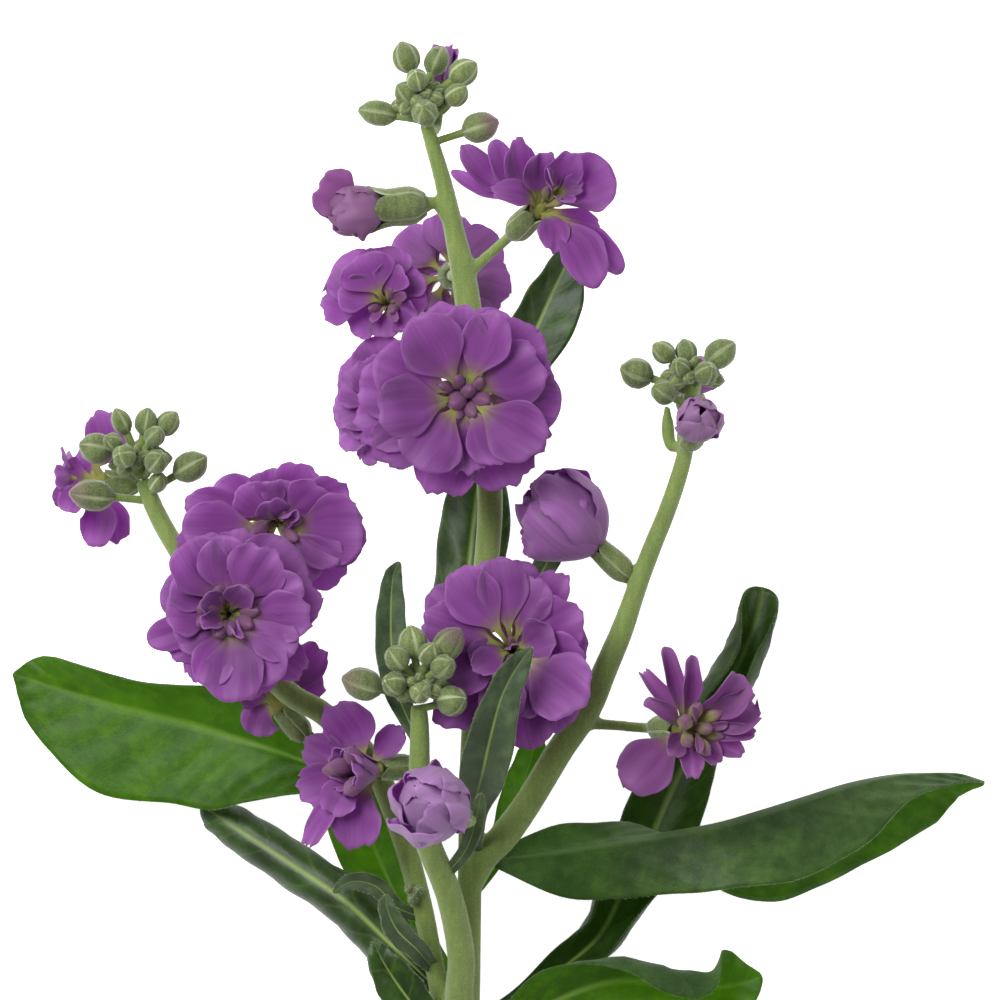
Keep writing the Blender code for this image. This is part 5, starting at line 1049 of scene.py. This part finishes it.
def blend(piece, voxel, rounds):
    """Give the piece one skin over its overlapping tubes, smoothed where they join."""
    remesh = piece.modifiers.new("one_skin", "REMESH")
    remesh.mode = "VOXEL"
    remesh.voxel_size = voxel
    remesh.use_smooth_shade = True
    soften = piece.modifiers.new("soften", "SMOOTH")
    soften.factor = 0.5
    soften.iterations = rounds
    graph = bpy.context.evaluated_depsgraph_get()
    mesh = bpy.data.meshes.new_from_object(piece.evaluated_get(graph))
    piece.modifiers.clear()
    piece.data = mesh
    places = np.zeros(len(mesh.vertices) * 3, np.float32)
    mesh.vertices.foreach_get("co", places)
    places = np.clip(places.reshape(-1, 3), *np.float32(CAD_BOX))
    mesh.vertices.foreach_set("co", places.ravel())
    mesh.update()


def mesh_surface(mesh):
    """Vertices in the tables' millimetres and triangles of a finished mesh."""
    mesh.calc_loop_triangles()
    verts = np.zeros(len(mesh.vertices) * 3, np.float32)
    mesh.vertices.foreach_get("co", verts)
    tris = np.zeros(len(mesh.loop_triangles) * 3, np.int32)
    mesh.loop_triangles.foreach_get("vertices", tris)
    return verts.reshape(-1, 3) / MM + (FLAT_X, FLAT_Y, 0.0), tris.reshape(-1, 3)


# Materials

def linear(code):
    """Linear colour of an sRGB hex value such as 8a4f98."""
    shares = [int(code[i:i + 2], 16) / 255.0 for i in (0, 2, 4)]
    return [*[x / 12.92 if x <= 0.04045 else ((x + 0.055) / 1.055) ** 2.4 for x in shares], 1.0]


def per_metre(spacing):
    """Scale that sets a pattern's grains so many millimetres apart."""
    return 1.0 / (spacing * MM)


def add(tree, kind, inputs=(), stops=(), out=0, **settings):
    """Add a node with its settings, stops, values and links, and give the output used."""
    made = tree.nodes.new("ShaderNode" + kind)
    for key, value in settings.items():
        setattr(made, key, value)
    for number, (place, colour) in enumerate(stops):
        held = made.color_ramp.elements
        stop = held[number] if number < len(held) else held.new(place)
        stop.position, stop.color = place, colour
    for key, value in inputs:
        if isinstance(value, bpy.types.NodeSocket):
            tree.links.new(value, made.inputs[key])
        else:
            made.inputs[key].default_value = value
    return made.outputs[out] if made.outputs else made


def new_finish(name):
    """Empty material with an output, and its tree."""
    made = bpy.data.materials.new(name)
    made.use_nodes = True
    made.node_tree.nodes.clear()
    return made, made.node_tree


def thin_skin(tree, colour, through, share, bump, **gloss):
    """Skin that reflects and also lets light through to its other side."""
    inputs = [("Base Color", colour), ("Normal", bump)]
    inputs += [(key.replace("_", " "), value) for key, value in gloss.items()]
    skin = add(tree, "BsdfPrincipled", inputs)
    glow = add(tree, "BsdfTranslucent", [("Color", through), ("Normal", bump)])
    both = add(tree, "MixShader", [(0, share), (1, skin), (2, glow)])
    add(tree, "OutputMaterial", [("Surface", both)])


def petal_skin(name, throat, dusk, limb, margin, through, share):
    """Fresh petal, grown thin over water-filled cells whose tips stand up as fine bumps.

    To the eye that is a soft satin with faint fanned streaks, clear enough for the
    light behind it to show, from a yellow-green claw to a violet limb with a
    brighter margin. The cells are too fine to show one by one, and only soften the
    gloss."""
    made, tree = new_finish(name)
    along, across, tone, faded = [add(tree, "Attribute", out="Fac", attribute_name=key)
                                  for key in ("along", "across", "tone", "faded")]
    fan = add(tree, "CombineXYZ", [("X", across), ("Y", along), ("Z", tone)])
    marks = []
    for wide, long, apart, detail in (PETAL_STREAK, PETAL_PATCH):
        scale = (COMMON_HALF / wide, COMMON_LENGTH / long, apart)
        place = add(tree, "Mapping", [("Vector", fan), ("Scale", scale)])
        marks.append(add(tree, "TexNoise", [("Vector", place), ("Scale", 1.0),
                                            ("Detail", detail)]))
    streaks, patches = marks

    # Throat, limb and margin. The dusk band at the foot of the limb is partly the petal's own dusky
    # colour and partly painted shade where the petals overlap near their feet
    reach = add(tree, "Math", [(0, streaks), (1, 0.1), (2, along)], operation="MULTIPLY_ADD")
    body = add(tree, "ValToRGB", [("Fac", reach)],
               [(0.0, throat), (0.42, throat), (0.5, dusk), (0.6, limb), (1.0, limb)])
    # Paler margin: painted glow of the light that comes through the petal's single layer at its edge
    side = add(tree, "Math", [(0, across)], operation="ABSOLUTE")
    edge = add(tree, "Math", [(0, side), (1, along)], operation="MAXIMUM")
    rim = add(tree, "MapRange", [("Value", edge), ("From Min", 0.72), ("To Max", 0.75)],
              interpolation_type="SMOOTHSTEP")
    limbed = add(tree, "MapRange", [("Value", along), ("From Min", 0.45), ("From Max", 0.75)])
    paler = add(tree, "Math", [(0, rim), (1, limbed)], operation="MULTIPLY")
    edged = add(tree, "Mix", [(0, paler), (6, body), (7, margin)], out=2, data_type="RGBA")

    # Streaks, patches and each petal's own lightness
    light = add(tree, "MapRange", [("Value", streaks), ("From Min", 0.35), ("From Max", 0.65),
                                   ("To Min", 0.9), ("To Max", 1.08)])
    cloud = add(tree, "MapRange", [("Value", patches), ("From Min", 0.3), ("From Max", 0.7),
                                   ("To Min", 0.86), ("To Max", 1.12)])
    own = add(tree, "MapRange", [("Value", tone), ("To Min", 0.86), ("To Max", 1.14)])
    for shade in (cloud, own):
        light = add(tree, "Math", [(0, light), (1, shade)], operation="MULTIPLY")
    colour = add(tree, "HueSaturation", [("Value", light), ("Color", edged)])
    old = add(tree, "Mix", [(0, faded), (6, colour), (7, dusk)], out=2, data_type="RGBA")
    behind = add(tree, "Mix", [(0, 0.6), (6, old), (7, through)], out=2, data_type="RGBA")

    # Cells and streaks in relief
    cells = add(tree, "TexNoise", [("Scale", FLOWER_WIDTH / CELL_SPACING), ("Detail", 1.0)])
    ridge = add(tree, "Math", [(0, streaks), (1, 1.6), (2, cells)], operation="MULTIPLY_ADD")
    bump = add(tree, "Bump", [("Strength", 0.16), ("Distance", 0.1 * MM), ("Height", ridge)])
    thin_skin(tree, old, behind, share, bump, Roughness=0.5, IOR=1.4, Sheen_Weight=0.2,
              Sheen_Roughness=0.5)
    return made


def leaf_skin(name, deep, light, rib, through, share, roughness, felt, veins):
    """Stock leaf, fleshy, its upper face waxy and dark and its lower face grey with felt.

    To the eye the upper face has a soft gloss over a pale sunk midrib and faint side
    veins, and the lower face is matt grey-green with raised pale veins. The felt's
    tufts are finer than can show, so they are drawn at TUFT_SPACING."""
    made, tree = new_finish(name)
    along, across, count, tone = [add(tree, "Attribute", out="Fac", attribute_name=key)
                                  for key in ("along", "across", "veins", "tone")]
    side = add(tree, "Math", [(0, across)], operation="ABSOLUTE")
    place = add(tree, "TexCoord", out="Object")
    drift = add(tree, "TexNoise", [("Vector", place), ("Scale", per_metre(PUCKER_SPACING)),
                                   ("Detail", 2.0)])

    # Midrib and side veins
    slant = add(tree, "Math", [(0, side), (1, -VEIN_SLANT), (2, along)], operation="MULTIPLY_ADD")
    order = add(tree, "Math", [(0, slant), (1, count), (2, drift)], operation="MULTIPLY_ADD")
    saw = add(tree, "Math", [(0, order), (1, 0.5)], operation="PINGPONG")
    vein = add(tree, "MapRange", [("Value", saw), ("From Max", 0.09), ("To Min", 1.0),
                                  ("To Max", 0.0)])
    strip = add(tree, "MapRange", [("Value", side), ("From Min", 0.012), ("From Max", 0.085),
                                   ("To Min", 1.0), ("To Max", 0.0)])
    fade = add(tree, "MapRange", [("Value", along), ("From Min", 0.1), ("To Min", 1.0),
                                  ("To Max", 0.25)])
    main_rib = add(tree, "Math", [(0, strip), (1, fade)], operation="MULTIPLY")
    faint = add(tree, "Math", [(0, vein), (1, veins)], operation="MULTIPLY")
    lines = add(tree, "Math", [(0, main_rib), (1, faint)], operation="MAXIMUM")

    # Mottled green under the veins
    cells = add(tree, "TexNoise", [("Vector", place), ("Scale", per_metre(MOTTLE_SPACING)),
                                   ("Detail", 4.0), ("Roughness", 0.65)])
    blotch = add(tree, "Math", [(0, cells), (1, drift)], operation="MULTIPLY")
    ground = add(tree, "ValToRGB", [("Fac", blotch)], [(0.16, deep), (0.40, light)])
    veined = add(tree, "Mix", [(0, lines), (6, ground), (7, rib)], out=2, data_type="RGBA")
    own = add(tree, "MapRange", [("Value", tone), ("To Min", 0.92), ("To Max", 1.1)])
    colour = add(tree, "HueSaturation", [("Value", own), ("Color", veined)])
    behind = add(tree, "Mix", [(0, 0.75), (6, colour), (7, through)], out=2, data_type="RGBA")

    # Felt in relief, with the veins sunk in a bare face and raised in a felted one
    fur = add(tree, "TexNoise", [("Vector", place), ("Scale", per_metre(TUFT_SPACING)),
                                 ("Detail", 3.0)])
    rough = add(tree, "Math", [(0, fur), (1, 0.4 + 1.6 * felt), (2, cells)],
                operation="MULTIPLY_ADD")
    height = add(tree, "Math", [(0, lines), (1, -1.2 + 2.6 * felt), (2, rough)],
                 operation="MULTIPLY_ADD")
    bump = add(tree, "Bump", [("Strength", 0.55), ("Distance", 0.2 * MM), ("Height", height)])
    thin_skin(tree, colour, behind, share, bump, Roughness=roughness, IOR=1.45,
              Sheen_Weight=0.1 + 0.45 * felt, Sheen_Roughness=0.45)
    return made


def felted_skin(name, deep, light, seam, tip):
    """Green skin of stem and buds under a felt of branched white hairs.

    To the eye it is a matt grey-green with paler seams, and the hairs whiten it
    wherever it turns away. Its tufts too are drawn coarser, at STEM_TUFT_SPACING."""
    made, tree = new_finish(name)
    along, across, tone, ripe = [add(tree, "Attribute", out="Fac", attribute_name=key)
                                 for key in ("along", "across", "tone", "ripe")]
    place = add(tree, "TexCoord", out="Object")
    drawn_out = add(tree, "Mapping", [("Vector", place), ("Scale", (1.0, FURROW_DRAW, 1.0))])
    streaks = add(tree, "TexNoise", [("Vector", drawn_out), ("Scale", per_metre(FURROW_SPACING)),
                                     ("Detail", 3.0), ("Roughness", 0.6)])
    fur = add(tree, "TexNoise", [("Vector", place), ("Scale", per_metre(STEM_TUFT_SPACING)),
                                 ("Detail", 3.0)])
    blend = add(tree, "Math", [(0, streaks), (1, fur)], operation="MULTIPLY")
    ground = add(tree, "ValToRGB", [("Fac", blend)], [(0.12, deep), (0.40, light)])

    # Pale seams, and the flushed tips of ripe buds
    line = add(tree, "MapRange", [("Value", across), ("From Min", 0.74), ("From Max", 0.98),
                                  ("To Max", 0.75)])
    seamed = add(tree, "Mix", [(0, line), (6, ground), (7, seam)], out=2, data_type="RGBA")
    end = add(tree, "MapRange", [("Value", along), ("From Min", 0.45), ("From Max", 0.95)])
    blush = add(tree, "Math", [(0, end), (1, ripe)], operation="MULTIPLY")
    tipped = add(tree, "Mix", [(0, blush), (6, seamed), (7, tip)], out=2, data_type="RGBA")
    own = add(tree, "MapRange", [("Value", tone), ("To Min", 0.86), ("To Max", 1.14)])
    colour = add(tree, "HueSaturation", [("Value", own), ("Color", tipped)])

    height = add(tree, "Math", [(0, streaks), (1, fur)], operation="ADD")
    bump = add(tree, "Bump", [("Strength", 0.4), ("Distance", 0.15 * MM), ("Height", height)])
    skin = add(tree, "BsdfPrincipled",
               [("Base Color", colour), ("Normal", bump), ("Roughness", 0.7), ("IOR", 1.45),
                ("Sheen Weight", 0.3), ("Sheen Roughness", 0.5)])
    add(tree, "OutputMaterial", [("Surface", skin)])
    return made


def hair_skin(name, root, tip):
    """Clear branched hairs, grown from the skin, that scatter light and so look white."""
    made, tree = new_finish(name)
    along = add(tree, "Attribute", out="Fac", attribute_name="along")
    colour = add(tree, "Mix", [(0, along), (6, root), (7, tip)], out=2, data_type="RGBA")
    skin = add(tree, "BsdfPrincipled", [("Base Color", colour), ("Roughness", 0.6), ("IOR", 1.5)])
    glow = add(tree, "BsdfTranslucent", [("Color", colour)])
    both = add(tree, "MixShader", [(0, 0.5), (1, skin), (2, glow)])
    add(tree, "OutputMaterial", [("Surface", both)])
    return made


def lit_table(name, strength):
    """White cast acrylic table top, faintly lit from below, matt as sanded.

    To the eye it is an even white. The sanding is too fine to show, so what is drawn
    is the soft patches that it leaves, which are TABLE_PATCH apart."""
    made, tree = new_finish(name)
    patch = add(tree, "TexNoise", [("Scale", 2 * TABLE_REACH / TABLE_PATCH), ("Detail", 2.0)])
    white = add(tree, "ValToRGB", [("Fac", patch)],
                [(0.3, linear("f4f4f4")), (0.7, linear("f8f8f8"))])
    skin = add(tree, "BsdfPrincipled", [("Base Color", white), ("Roughness", 0.6),
                                        ("Emission Color", white),
                                        ("Emission Strength", strength)])
    add(tree, "OutputMaterial", [("Surface", skin)])
    return made


# Settings a user would change

class StemSizes(bpy.types.PropertyGroup):
    """Sizes of the parts' fine detail."""
    petal_thick: bpy.props.FloatProperty(
        name="Petal thickness", description="Thickness of a petal at its middle",
        default=PETAL_THICK * MM, min=0.0001, max=0.0008, precision=5, unit="LENGTH")
    ruffle: bpy.props.FloatProperty(
        name="Petal ruffle", description="Depth of the waves along the petals' margins",
        default=1.0, min=0.0, max=2.0, subtype="FACTOR")
    pucker: bpy.props.FloatProperty(
        name="Leaf pucker", description="Height of a leaf's swellings between its side veins",
        default=0.0007, min=0.0, max=0.002, precision=5, unit="LENGTH")
    hair_length: bpy.props.FloatProperty(
        name="Hair length", description="Length of the longest hairs",
        default=0.00055, min=0.0, max=0.002, precision=5, unit="LENGTH")
    hair_width: bpy.props.FloatProperty(
        name="Hair width", description="Width of a hair at its root",
        default=0.00005, min=0.00001, max=0.0003, precision=6, unit="LENGTH")
    hair_share: bpy.props.FloatProperty(
        name="Hair share", description="How many of the hairs are made",
        default=1.0, min=0.0, max=2.0, subtype="FACTOR")


def paint(name, description, code):
    """Colour setting that starts at an sRGB hex value."""
    return bpy.props.FloatVectorProperty(name=name, description=description, subtype="COLOR",
                                         size=4, min=0.0, max=1.0, default=linear(code))


class StemColours(bpy.types.PropertyGroup):
    """Colours of petals, leaves, buds, stem and hairs."""
    throat: paint("Throat", "Claws of the petals, in the flower's throat", "a8b050")
    # Dusk is the faded petals' own colour, and at the foot of each limb partly painted shade where the
    # petals overlap
    dusk: paint("Dusk", "Faded petals at the heart, and the foot of each limb", "946e80")
    violet: paint("Violet limb", "Limb of the open flowers' petals", "8e4b98")
    # Margin colour: the violet petal back's own paler colour, and on the face a painted backlight glow
    # at the edges
    violet_margin: paint("Violet margin", "Margin of the open flowers' petals", "b478be")
    violet_glow: paint("Violet glow", "Light that comes through a violet petal", "c05ccc")
    lilac: paint("Lilac limb", "Limb of the half open flowers' petals", "9a66a4")
    # Margin colour: the lilac petal back's own paler colour, and on the face a painted backlight glow
    # at the edges
    lilac_margin: paint("Lilac margin", "Margin of the half open flowers' petals", "ba90c2")
    lilac_glow: paint("Lilac glow", "Light that comes through a lilac petal", "cc74da")
    # Deep and dark are the greens of the waxy face's shaded copy, painted shade; dark and bright those
    # of its lit copy, painted backlight. Deep also colours the leathery underside.
    leaf_deep: paint("Leaf, deep", "Darkest green of a leaf's upper face", "223810")
    leaf_dark: paint("Leaf, dark", "Common green of a dark leaf's upper face", "3a5a1c")
    leaf_bright: paint("Leaf, bright", "Green of a leaf that light comes through", "64921c")
    leaf_glow: paint("Leaf glow", "Light that comes through a leaf", "8cba1e")
    leaf_rib: paint("Leaf rib", "Midrib and side veins", "a0bc60")
    leaf_shade: paint("Leaf shade", "Darker parts of a leaf's felted underside", "384c2e")
    # A darker green for the smooth, little-felted undersides of the leaves in BARE_BACKS
    leaf_dark_bare: paint("Leaf, worn", "Underside of an old leaf that has lost its felt", "48622a")
    leaf_felt: paint("Leaf felt", "Felted underside of a leaf", "566c44")
    stem_green: paint("Stem green", "Skin of stem and stalks", "8a9e4e")
    stem_shade: paint("Stem shade", "Furrows of stem and stalks", "6e8642")
    bud_green: paint("Bud green", "Skin of buds and calyxes", "7c8a50")
    bud_shade: paint("Bud shade", "Darker parts of buds and calyxes", "4e5e30")
    bud_seam: paint("Bud seam", "Seams where sepals meet", "bcc69c")
    bud_tip: paint("Bud tip", "Tips of the ripest buds", "705058")
    hair_root: paint("Hair root", "Hairs where they leave the skin", "96a878")
    hair_tip: paint("Hair tip", "Hairs at their tips", "dce4cc")


class StageSettings(bpy.types.PropertyGroup):
    """Table, light and camera."""
    glow: bpy.props.FloatProperty(
        name="Table glow", description="Light that comes up through the table",
        default=0.95, min=0.0, max=2.0)
    sky: bpy.props.FloatProperty(
        name="Soft light", description="Even light from all round",
        default=0.32, min=0.0, max=3.0)
    key: bpy.props.FloatProperty(
        name="Large lamp", description="Power of the soft box above on the left",
        default=13.5, min=0.0, max=50.0, unit="POWER")
    fill: bpy.props.FloatProperty(
        name="Small lamp", description="Power of the soft box low on the right",
        default=1.6, min=0.0, max=50.0, unit="POWER")
    view_width: bpy.props.FloatProperty(
        name="View width", description="Width of table that the camera shows",
        default=0.2, min=0.05, max=1.0, unit="LENGTH")


# Hairs on finished surfaces

def fringe(shape):
    """Rim of a thin sheet as triangles, for the hairs along its margin."""
    faces = np.asarray(shape.faces)
    half = len(shape.verts) // 2
    rim = faces[(faces.max(axis=1) >= half) & (faces.min(axis=1) < half)]
    return shape.verts, np.concatenate([rim[:, [0, 1, 2]], rim[:, [0, 2, 3]]])


def add_hairs(context, name, skin, node, kind, number=0):
    """Hairs of one kind over vertices and triangles in millimetres."""
    sizes, colours = context.scene.stem_sizes, context.scene.stem_colours
    per_mm2, long, seed = HAIRS[kind]
    verts, tris = skin
    cross = np.cross(verts[tris[:, 1]] - verts[tris[:, 0]], verts[tris[:, 2]] - verts[tris[:, 0]])
    area = np.linalg.norm(cross, axis=1).sum() / 2
    count = int(area * per_mm2 * sizes.hair_share)
    if count < 1:
        return
    finish = (bpy.data.materials.get("hair_clear_white")
              or hair_skin("hair_clear_white", colours.hair_root, colours.hair_tip))
    shape = hair_shape(verts, tris, count, sizes.hair_length / MM * long, sizes.hair_width / MM,
                       np.random.default_rng(seed + number))
    settle(mesh_object(name, [shape], [finish], smooth_faces=False), node, replaced=False)


# Operators

def petal_finishes(pale, colours):
    """Upper and lower skins of a violet or a lilac petal, made once."""
    name = "lilac" if pale else "violet"
    found = bpy.data.materials.get(f"{name}_petal_velvet_face")
    if found:
        return [found, bpy.data.materials[f"{name}_petal_smooth_back"]]
    # The margin colour is the back's own paler colour, and on the face a painted backlight glow at the
    # edges
    limb, margin, through = [getattr(colours, name + part) for part in ("", "_margin", "_glow")]
    return [petal_skin(f"{name}_petal_{side}", colours.throat, colours.dusk, shade, margin,
                       through, PETAL_THROUGH)
            for side, shade in (("velvet_face", limb), ("smooth_back", margin))]


class STEM_OT_flowers(bpy.types.Operator):
    """Make the petals of every open, half open and opening flower"""
    bl_idname = "stock_stem.flowers"
    bl_label = "Flowers"

    def execute(self, context):
        sizes = context.scene.stem_sizes
        thick = sizes.petal_thick / MM
        for number, (name, bloom) in enumerate(BLOOMS.items()):
            draw = np.random.default_rng(PETAL_SEED + number)
            shapes = [heart_shape(bloom, draw)]
            shapes += [petal_shape(bloom, petal, sizes.ruffle, thick, draw, AGED.get(name, 0.0))
                       for petal in bloom.petals]
            shapes += [petal_shape(bloom, petal, sizes.ruffle, thick, draw, draw.uniform(0.2, 0.7))
                       for petal in HEARTS.get(name, [])]
            shapes += [hood_shape(bloom, *hood, draw, name in GREEN_HEARTS)
                       for hood in HOODS.get(name, [])]
            finishes = petal_finishes(name in PALE_BLOOMS, context.scene.stem_colours)
            settle(mesh_object(name + "_petals", shapes, finishes), name)
        return {"FINISHED"}


def bud_skin(name, colours):
    """Felted green of a bud or calyx."""
    return felted_skin(name, colours.bud_shade, colours.bud_green, colours.bud_seam,
                       colours.bud_tip)


def stalk_skin(name, colours):
    """Hairy green of the stem or a stalk."""
    green = colours.stem_green
    return felted_skin(name, colours.stem_shade, green, green, green)


class STEM_OT_calyxes(bpy.types.Operator):
    """Make the four felted sepals round each flower's claws"""
    bl_idname = "stock_stem.calyxes"
    bl_label = "Calyxes"

    def execute(self, context):
        draw = np.random.default_rng(SEPAL_SEED)
        shapes = []
        for name, bloom in BLOOMS.items():
            foot, facing = calyx_foot(name, bloom)
            length = SHORT_CALYX.get(name, CALYX_LENGTH)
            radius = WIDE_CALYX.get(name, CALYX_RADIUS)
            reach, flare = ((WIDE_SEPAL_REACH, WIDE_SEPAL_FLARE) if name in WIDE_CALYX
                            else (SEPAL_REACH, SEPAL_FLARE))
            shapes += sepal_shapes(foot, facing, length + reach, radius, flare, draw)
        finish = bud_skin("sepal_felted_green", context.scene.stem_colours)
        sepals = mesh_object("calyx_sepals", shapes, [finish, finish], "ripe")
        settle(sepals, "stem", replaced=False)
        add_hairs(context, "calyx_sepal_hairs", surface(shapes, {1}), "stem", "sepals")
        return {"FINISHED"}


class STEM_OT_stem(bpy.types.Operator):
    """Make the stem with its side shoots and flower stalks under one skin"""
    bl_idname = "stock_stem.stem"
    bl_label = "Stem"

    def execute(self, context):
        colours = context.scene.stem_colours
        finish = stalk_skin("stem_ribbed_green", colours)
        piece = mesh_object("stem_green", stem_shapes(), [finish], "ripe")
        blend(piece, STEM_SKIN_STEP * MM, STEM_SKIN_ROUNDS)
        settle(piece, "stem")
        add_hairs(context, "stem_hairs", mesh_surface(piece.data), "stem", "stem")
        buds = axil_bud_shapes(np.random.default_rng(AXIL_SEED))
        felt = bud_skin("axil_bud_felted_green", colours)
        settle(mesh_object("axil_buds", buds, [felt], "ripe"), "stem", replaced=False)
        add_hairs(context, "axil_bud_hairs", surface(buds), "stem", "axil buds")
        return {"FINISHED"}


class STEM_OT_heads(bpy.types.Operator):
    """Make the four heads of closed buds"""
    bl_idname = "stock_stem.heads"
    bl_label = "Bud heads"

    def execute(self, context):
        felt = bud_skin("bud_felted_green", context.scene.stem_colours)
        stalk = stalk_skin("bud_stalk_green", context.scene.stem_colours)
        for number, name in enumerate(HEADS):
            draw = np.random.default_rng(BUD_SEED + number)
            stalks, closed = head_shapes(name, draw)
            stalks = [shape._replace(looks=np.ones(len(shape.looks), int)) for shape in stalks]
            settle(mesh_object(name + "_buds", closed + stalks, [felt, stalk], "ripe"), name)
            add_hairs(context, name + "_hairs", surface(closed), name, "buds", number)
            add_hairs(context, name + "_stalk_hairs", surface(stalks), name, "bud stalks", number)
        return {"FINISHED"}


class STEM_OT_leaves(bpy.types.Operator):
    """Make the sixteen leaves with their veins, puckers and felted margins"""
    bl_idname = "stock_stem.leaves"
    bl_label = "Leaves"

    def execute(self, context):
        pucker = context.scene.stem_sizes.pucker / MM
        hues = context.scene.stem_colours
        skins = {}
        for finish, (greens, through, roughness, felt, veins) in LEAF_SKINS.items():
            deep, light, rib = [getattr(hues, "leaf_" + green) for green in greens]
            skins[finish] = leaf_skin("leaf_" + finish, deep, light, rib, hues.leaf_glow, through,
                                      roughness, felt, veins)
        for number, (name, (look, wave, rows)) in enumerate(LEAVES.items()):
            draw = np.random.default_rng(LEAF_SEED + number)
            shape = leaf_shape(rows, wave, pucker, draw)
            face, back = LEAF_FACES[look]
            bare = name in BARE_BACKS
            finishes = [skins[face], skins["leathery_underside" if bare else back]]
            settle(mesh_object(name + "_blade", [shape], finishes, "veins"), name)
            felt = "bare leaf" if bare else "leaf felt"
            add_hairs(context, name + "_felt", surface([shape], {1}), name, felt, number)
            add_hairs(context, name + "_fringe", fringe(shape), name, "leaf fringe", number)
        return {"FINISHED"}


class STEM_OT_stage(bpy.types.Operator):
    """Make the lit table, the soft lamps and the camera that looks down on the stem"""
    bl_idname = "stock_stem.stage"
    bl_label = "Table, light and camera"

    def execute(self, context):
        settings = context.scene.stem_stage
        scene = context.scene
        mesh = bpy.data.meshes.new("table_top")
        corners = [(-1, -1), (1, -1), (1, 1), (-1, 1)]
        mesh.from_pydata([(x * TABLE_REACH, y * TABLE_REACH, 0) for x, y in corners], [],
                         [(0, 1, 2, 3)])
        mesh.materials.append(lit_table("table_white_acrylic", settings.glow))
        table = bpy.data.objects.new("table_top", mesh)
        scene.collection.objects.link(table)

        sky = bpy.data.worlds.new("soft_light")
        sky.use_nodes = True
        sky.node_tree.nodes["Background"].inputs["Color"].default_value = (1.0, 1.0, 1.0, 1.0)
        sky.node_tree.nodes["Background"].inputs["Strength"].default_value = settings.sky
        scene.world = sky

        centre = Vector((VIEW_X, VIEW_Y, VIEW_Z))
        for (name, place, size), power in zip(LAMPS, (settings.key, settings.fill)):
            light = bpy.data.lights.new(name, "AREA")
            light.shape = "DISK"
            light.size = size
            light.energy = power
            lamp = bpy.data.objects.new(name, light)
            lamp.location = centre + Vector(place)
            lamp.rotation_mode = "QUATERNION"
            lamp.rotation_quaternion = Vector(place).to_track_quat("Z", "Y")
            lamp.visible_camera = False
            scene.collection.objects.link(lamp)

        lens = bpy.data.cameras.new("camera_above")
        lens.lens = CAMERA_LENS
        lens.sensor_width = CAMERA_SENSOR
        lens.clip_end = 50.0
        camera = bpy.data.objects.new("camera_above", lens)
        away = settings.view_width * CAMERA_LENS / CAMERA_SENSOR
        camera.location = (VIEW_X, VIEW_Y, away + VIEW_Z)
        scene.collection.objects.link(camera)
        scene.camera = camera
        scene.view_settings.view_transform = "Standard"
        return {"FINISHED"}


# Panel

STEPS = (STEM_OT_stem, STEM_OT_calyxes, STEM_OT_flowers, STEM_OT_heads, STEM_OT_leaves,
         STEM_OT_stage)


class STEM_PT_panel(bpy.types.Panel):
    """Steps and settings of the stock stem"""
    bl_label = "Stock stem"
    bl_idname = "STEM_PT_panel"
    bl_space_type = "VIEW_3D"
    bl_region_type = "UI"
    bl_category = "Stock stem"

    def draw(self, context):
        for step in STEPS:
            self.layout.operator(step.bl_idname)
        scene = context.scene
        for group in (scene.stem_sizes, scene.stem_colours, scene.stem_stage):
            box = self.layout.box()
            for key in group.__annotations__:
                box.prop(group, key)


CLASSES = (StemSizes, StemColours, StageSettings, *STEPS, STEM_PT_panel)


def register():
    for kind in CLASSES:
        bpy.utils.register_class(kind)
    bpy.types.Scene.stem_sizes = bpy.props.PointerProperty(type=StemSizes)
    bpy.types.Scene.stem_colours = bpy.props.PointerProperty(type=StemColours)
    bpy.types.Scene.stem_stage = bpy.props.PointerProperty(type=StageSettings)


def unregister():
    del bpy.types.Scene.stem_stage
    del bpy.types.Scene.stem_colours
    del bpy.types.Scene.stem_sizes
    for kind in reversed(CLASSES):
        bpy.utils.unregister_class(kind)


def main():
    register()
    bpy.ops.stock_stem.stem()
    bpy.ops.stock_stem.calyxes()
    bpy.ops.stock_stem.flowers()
    bpy.ops.stock_stem.heads()
    bpy.ops.stock_stem.leaves()
    bpy.ops.stock_stem.stage()


if __name__ == "__main__":
    main()
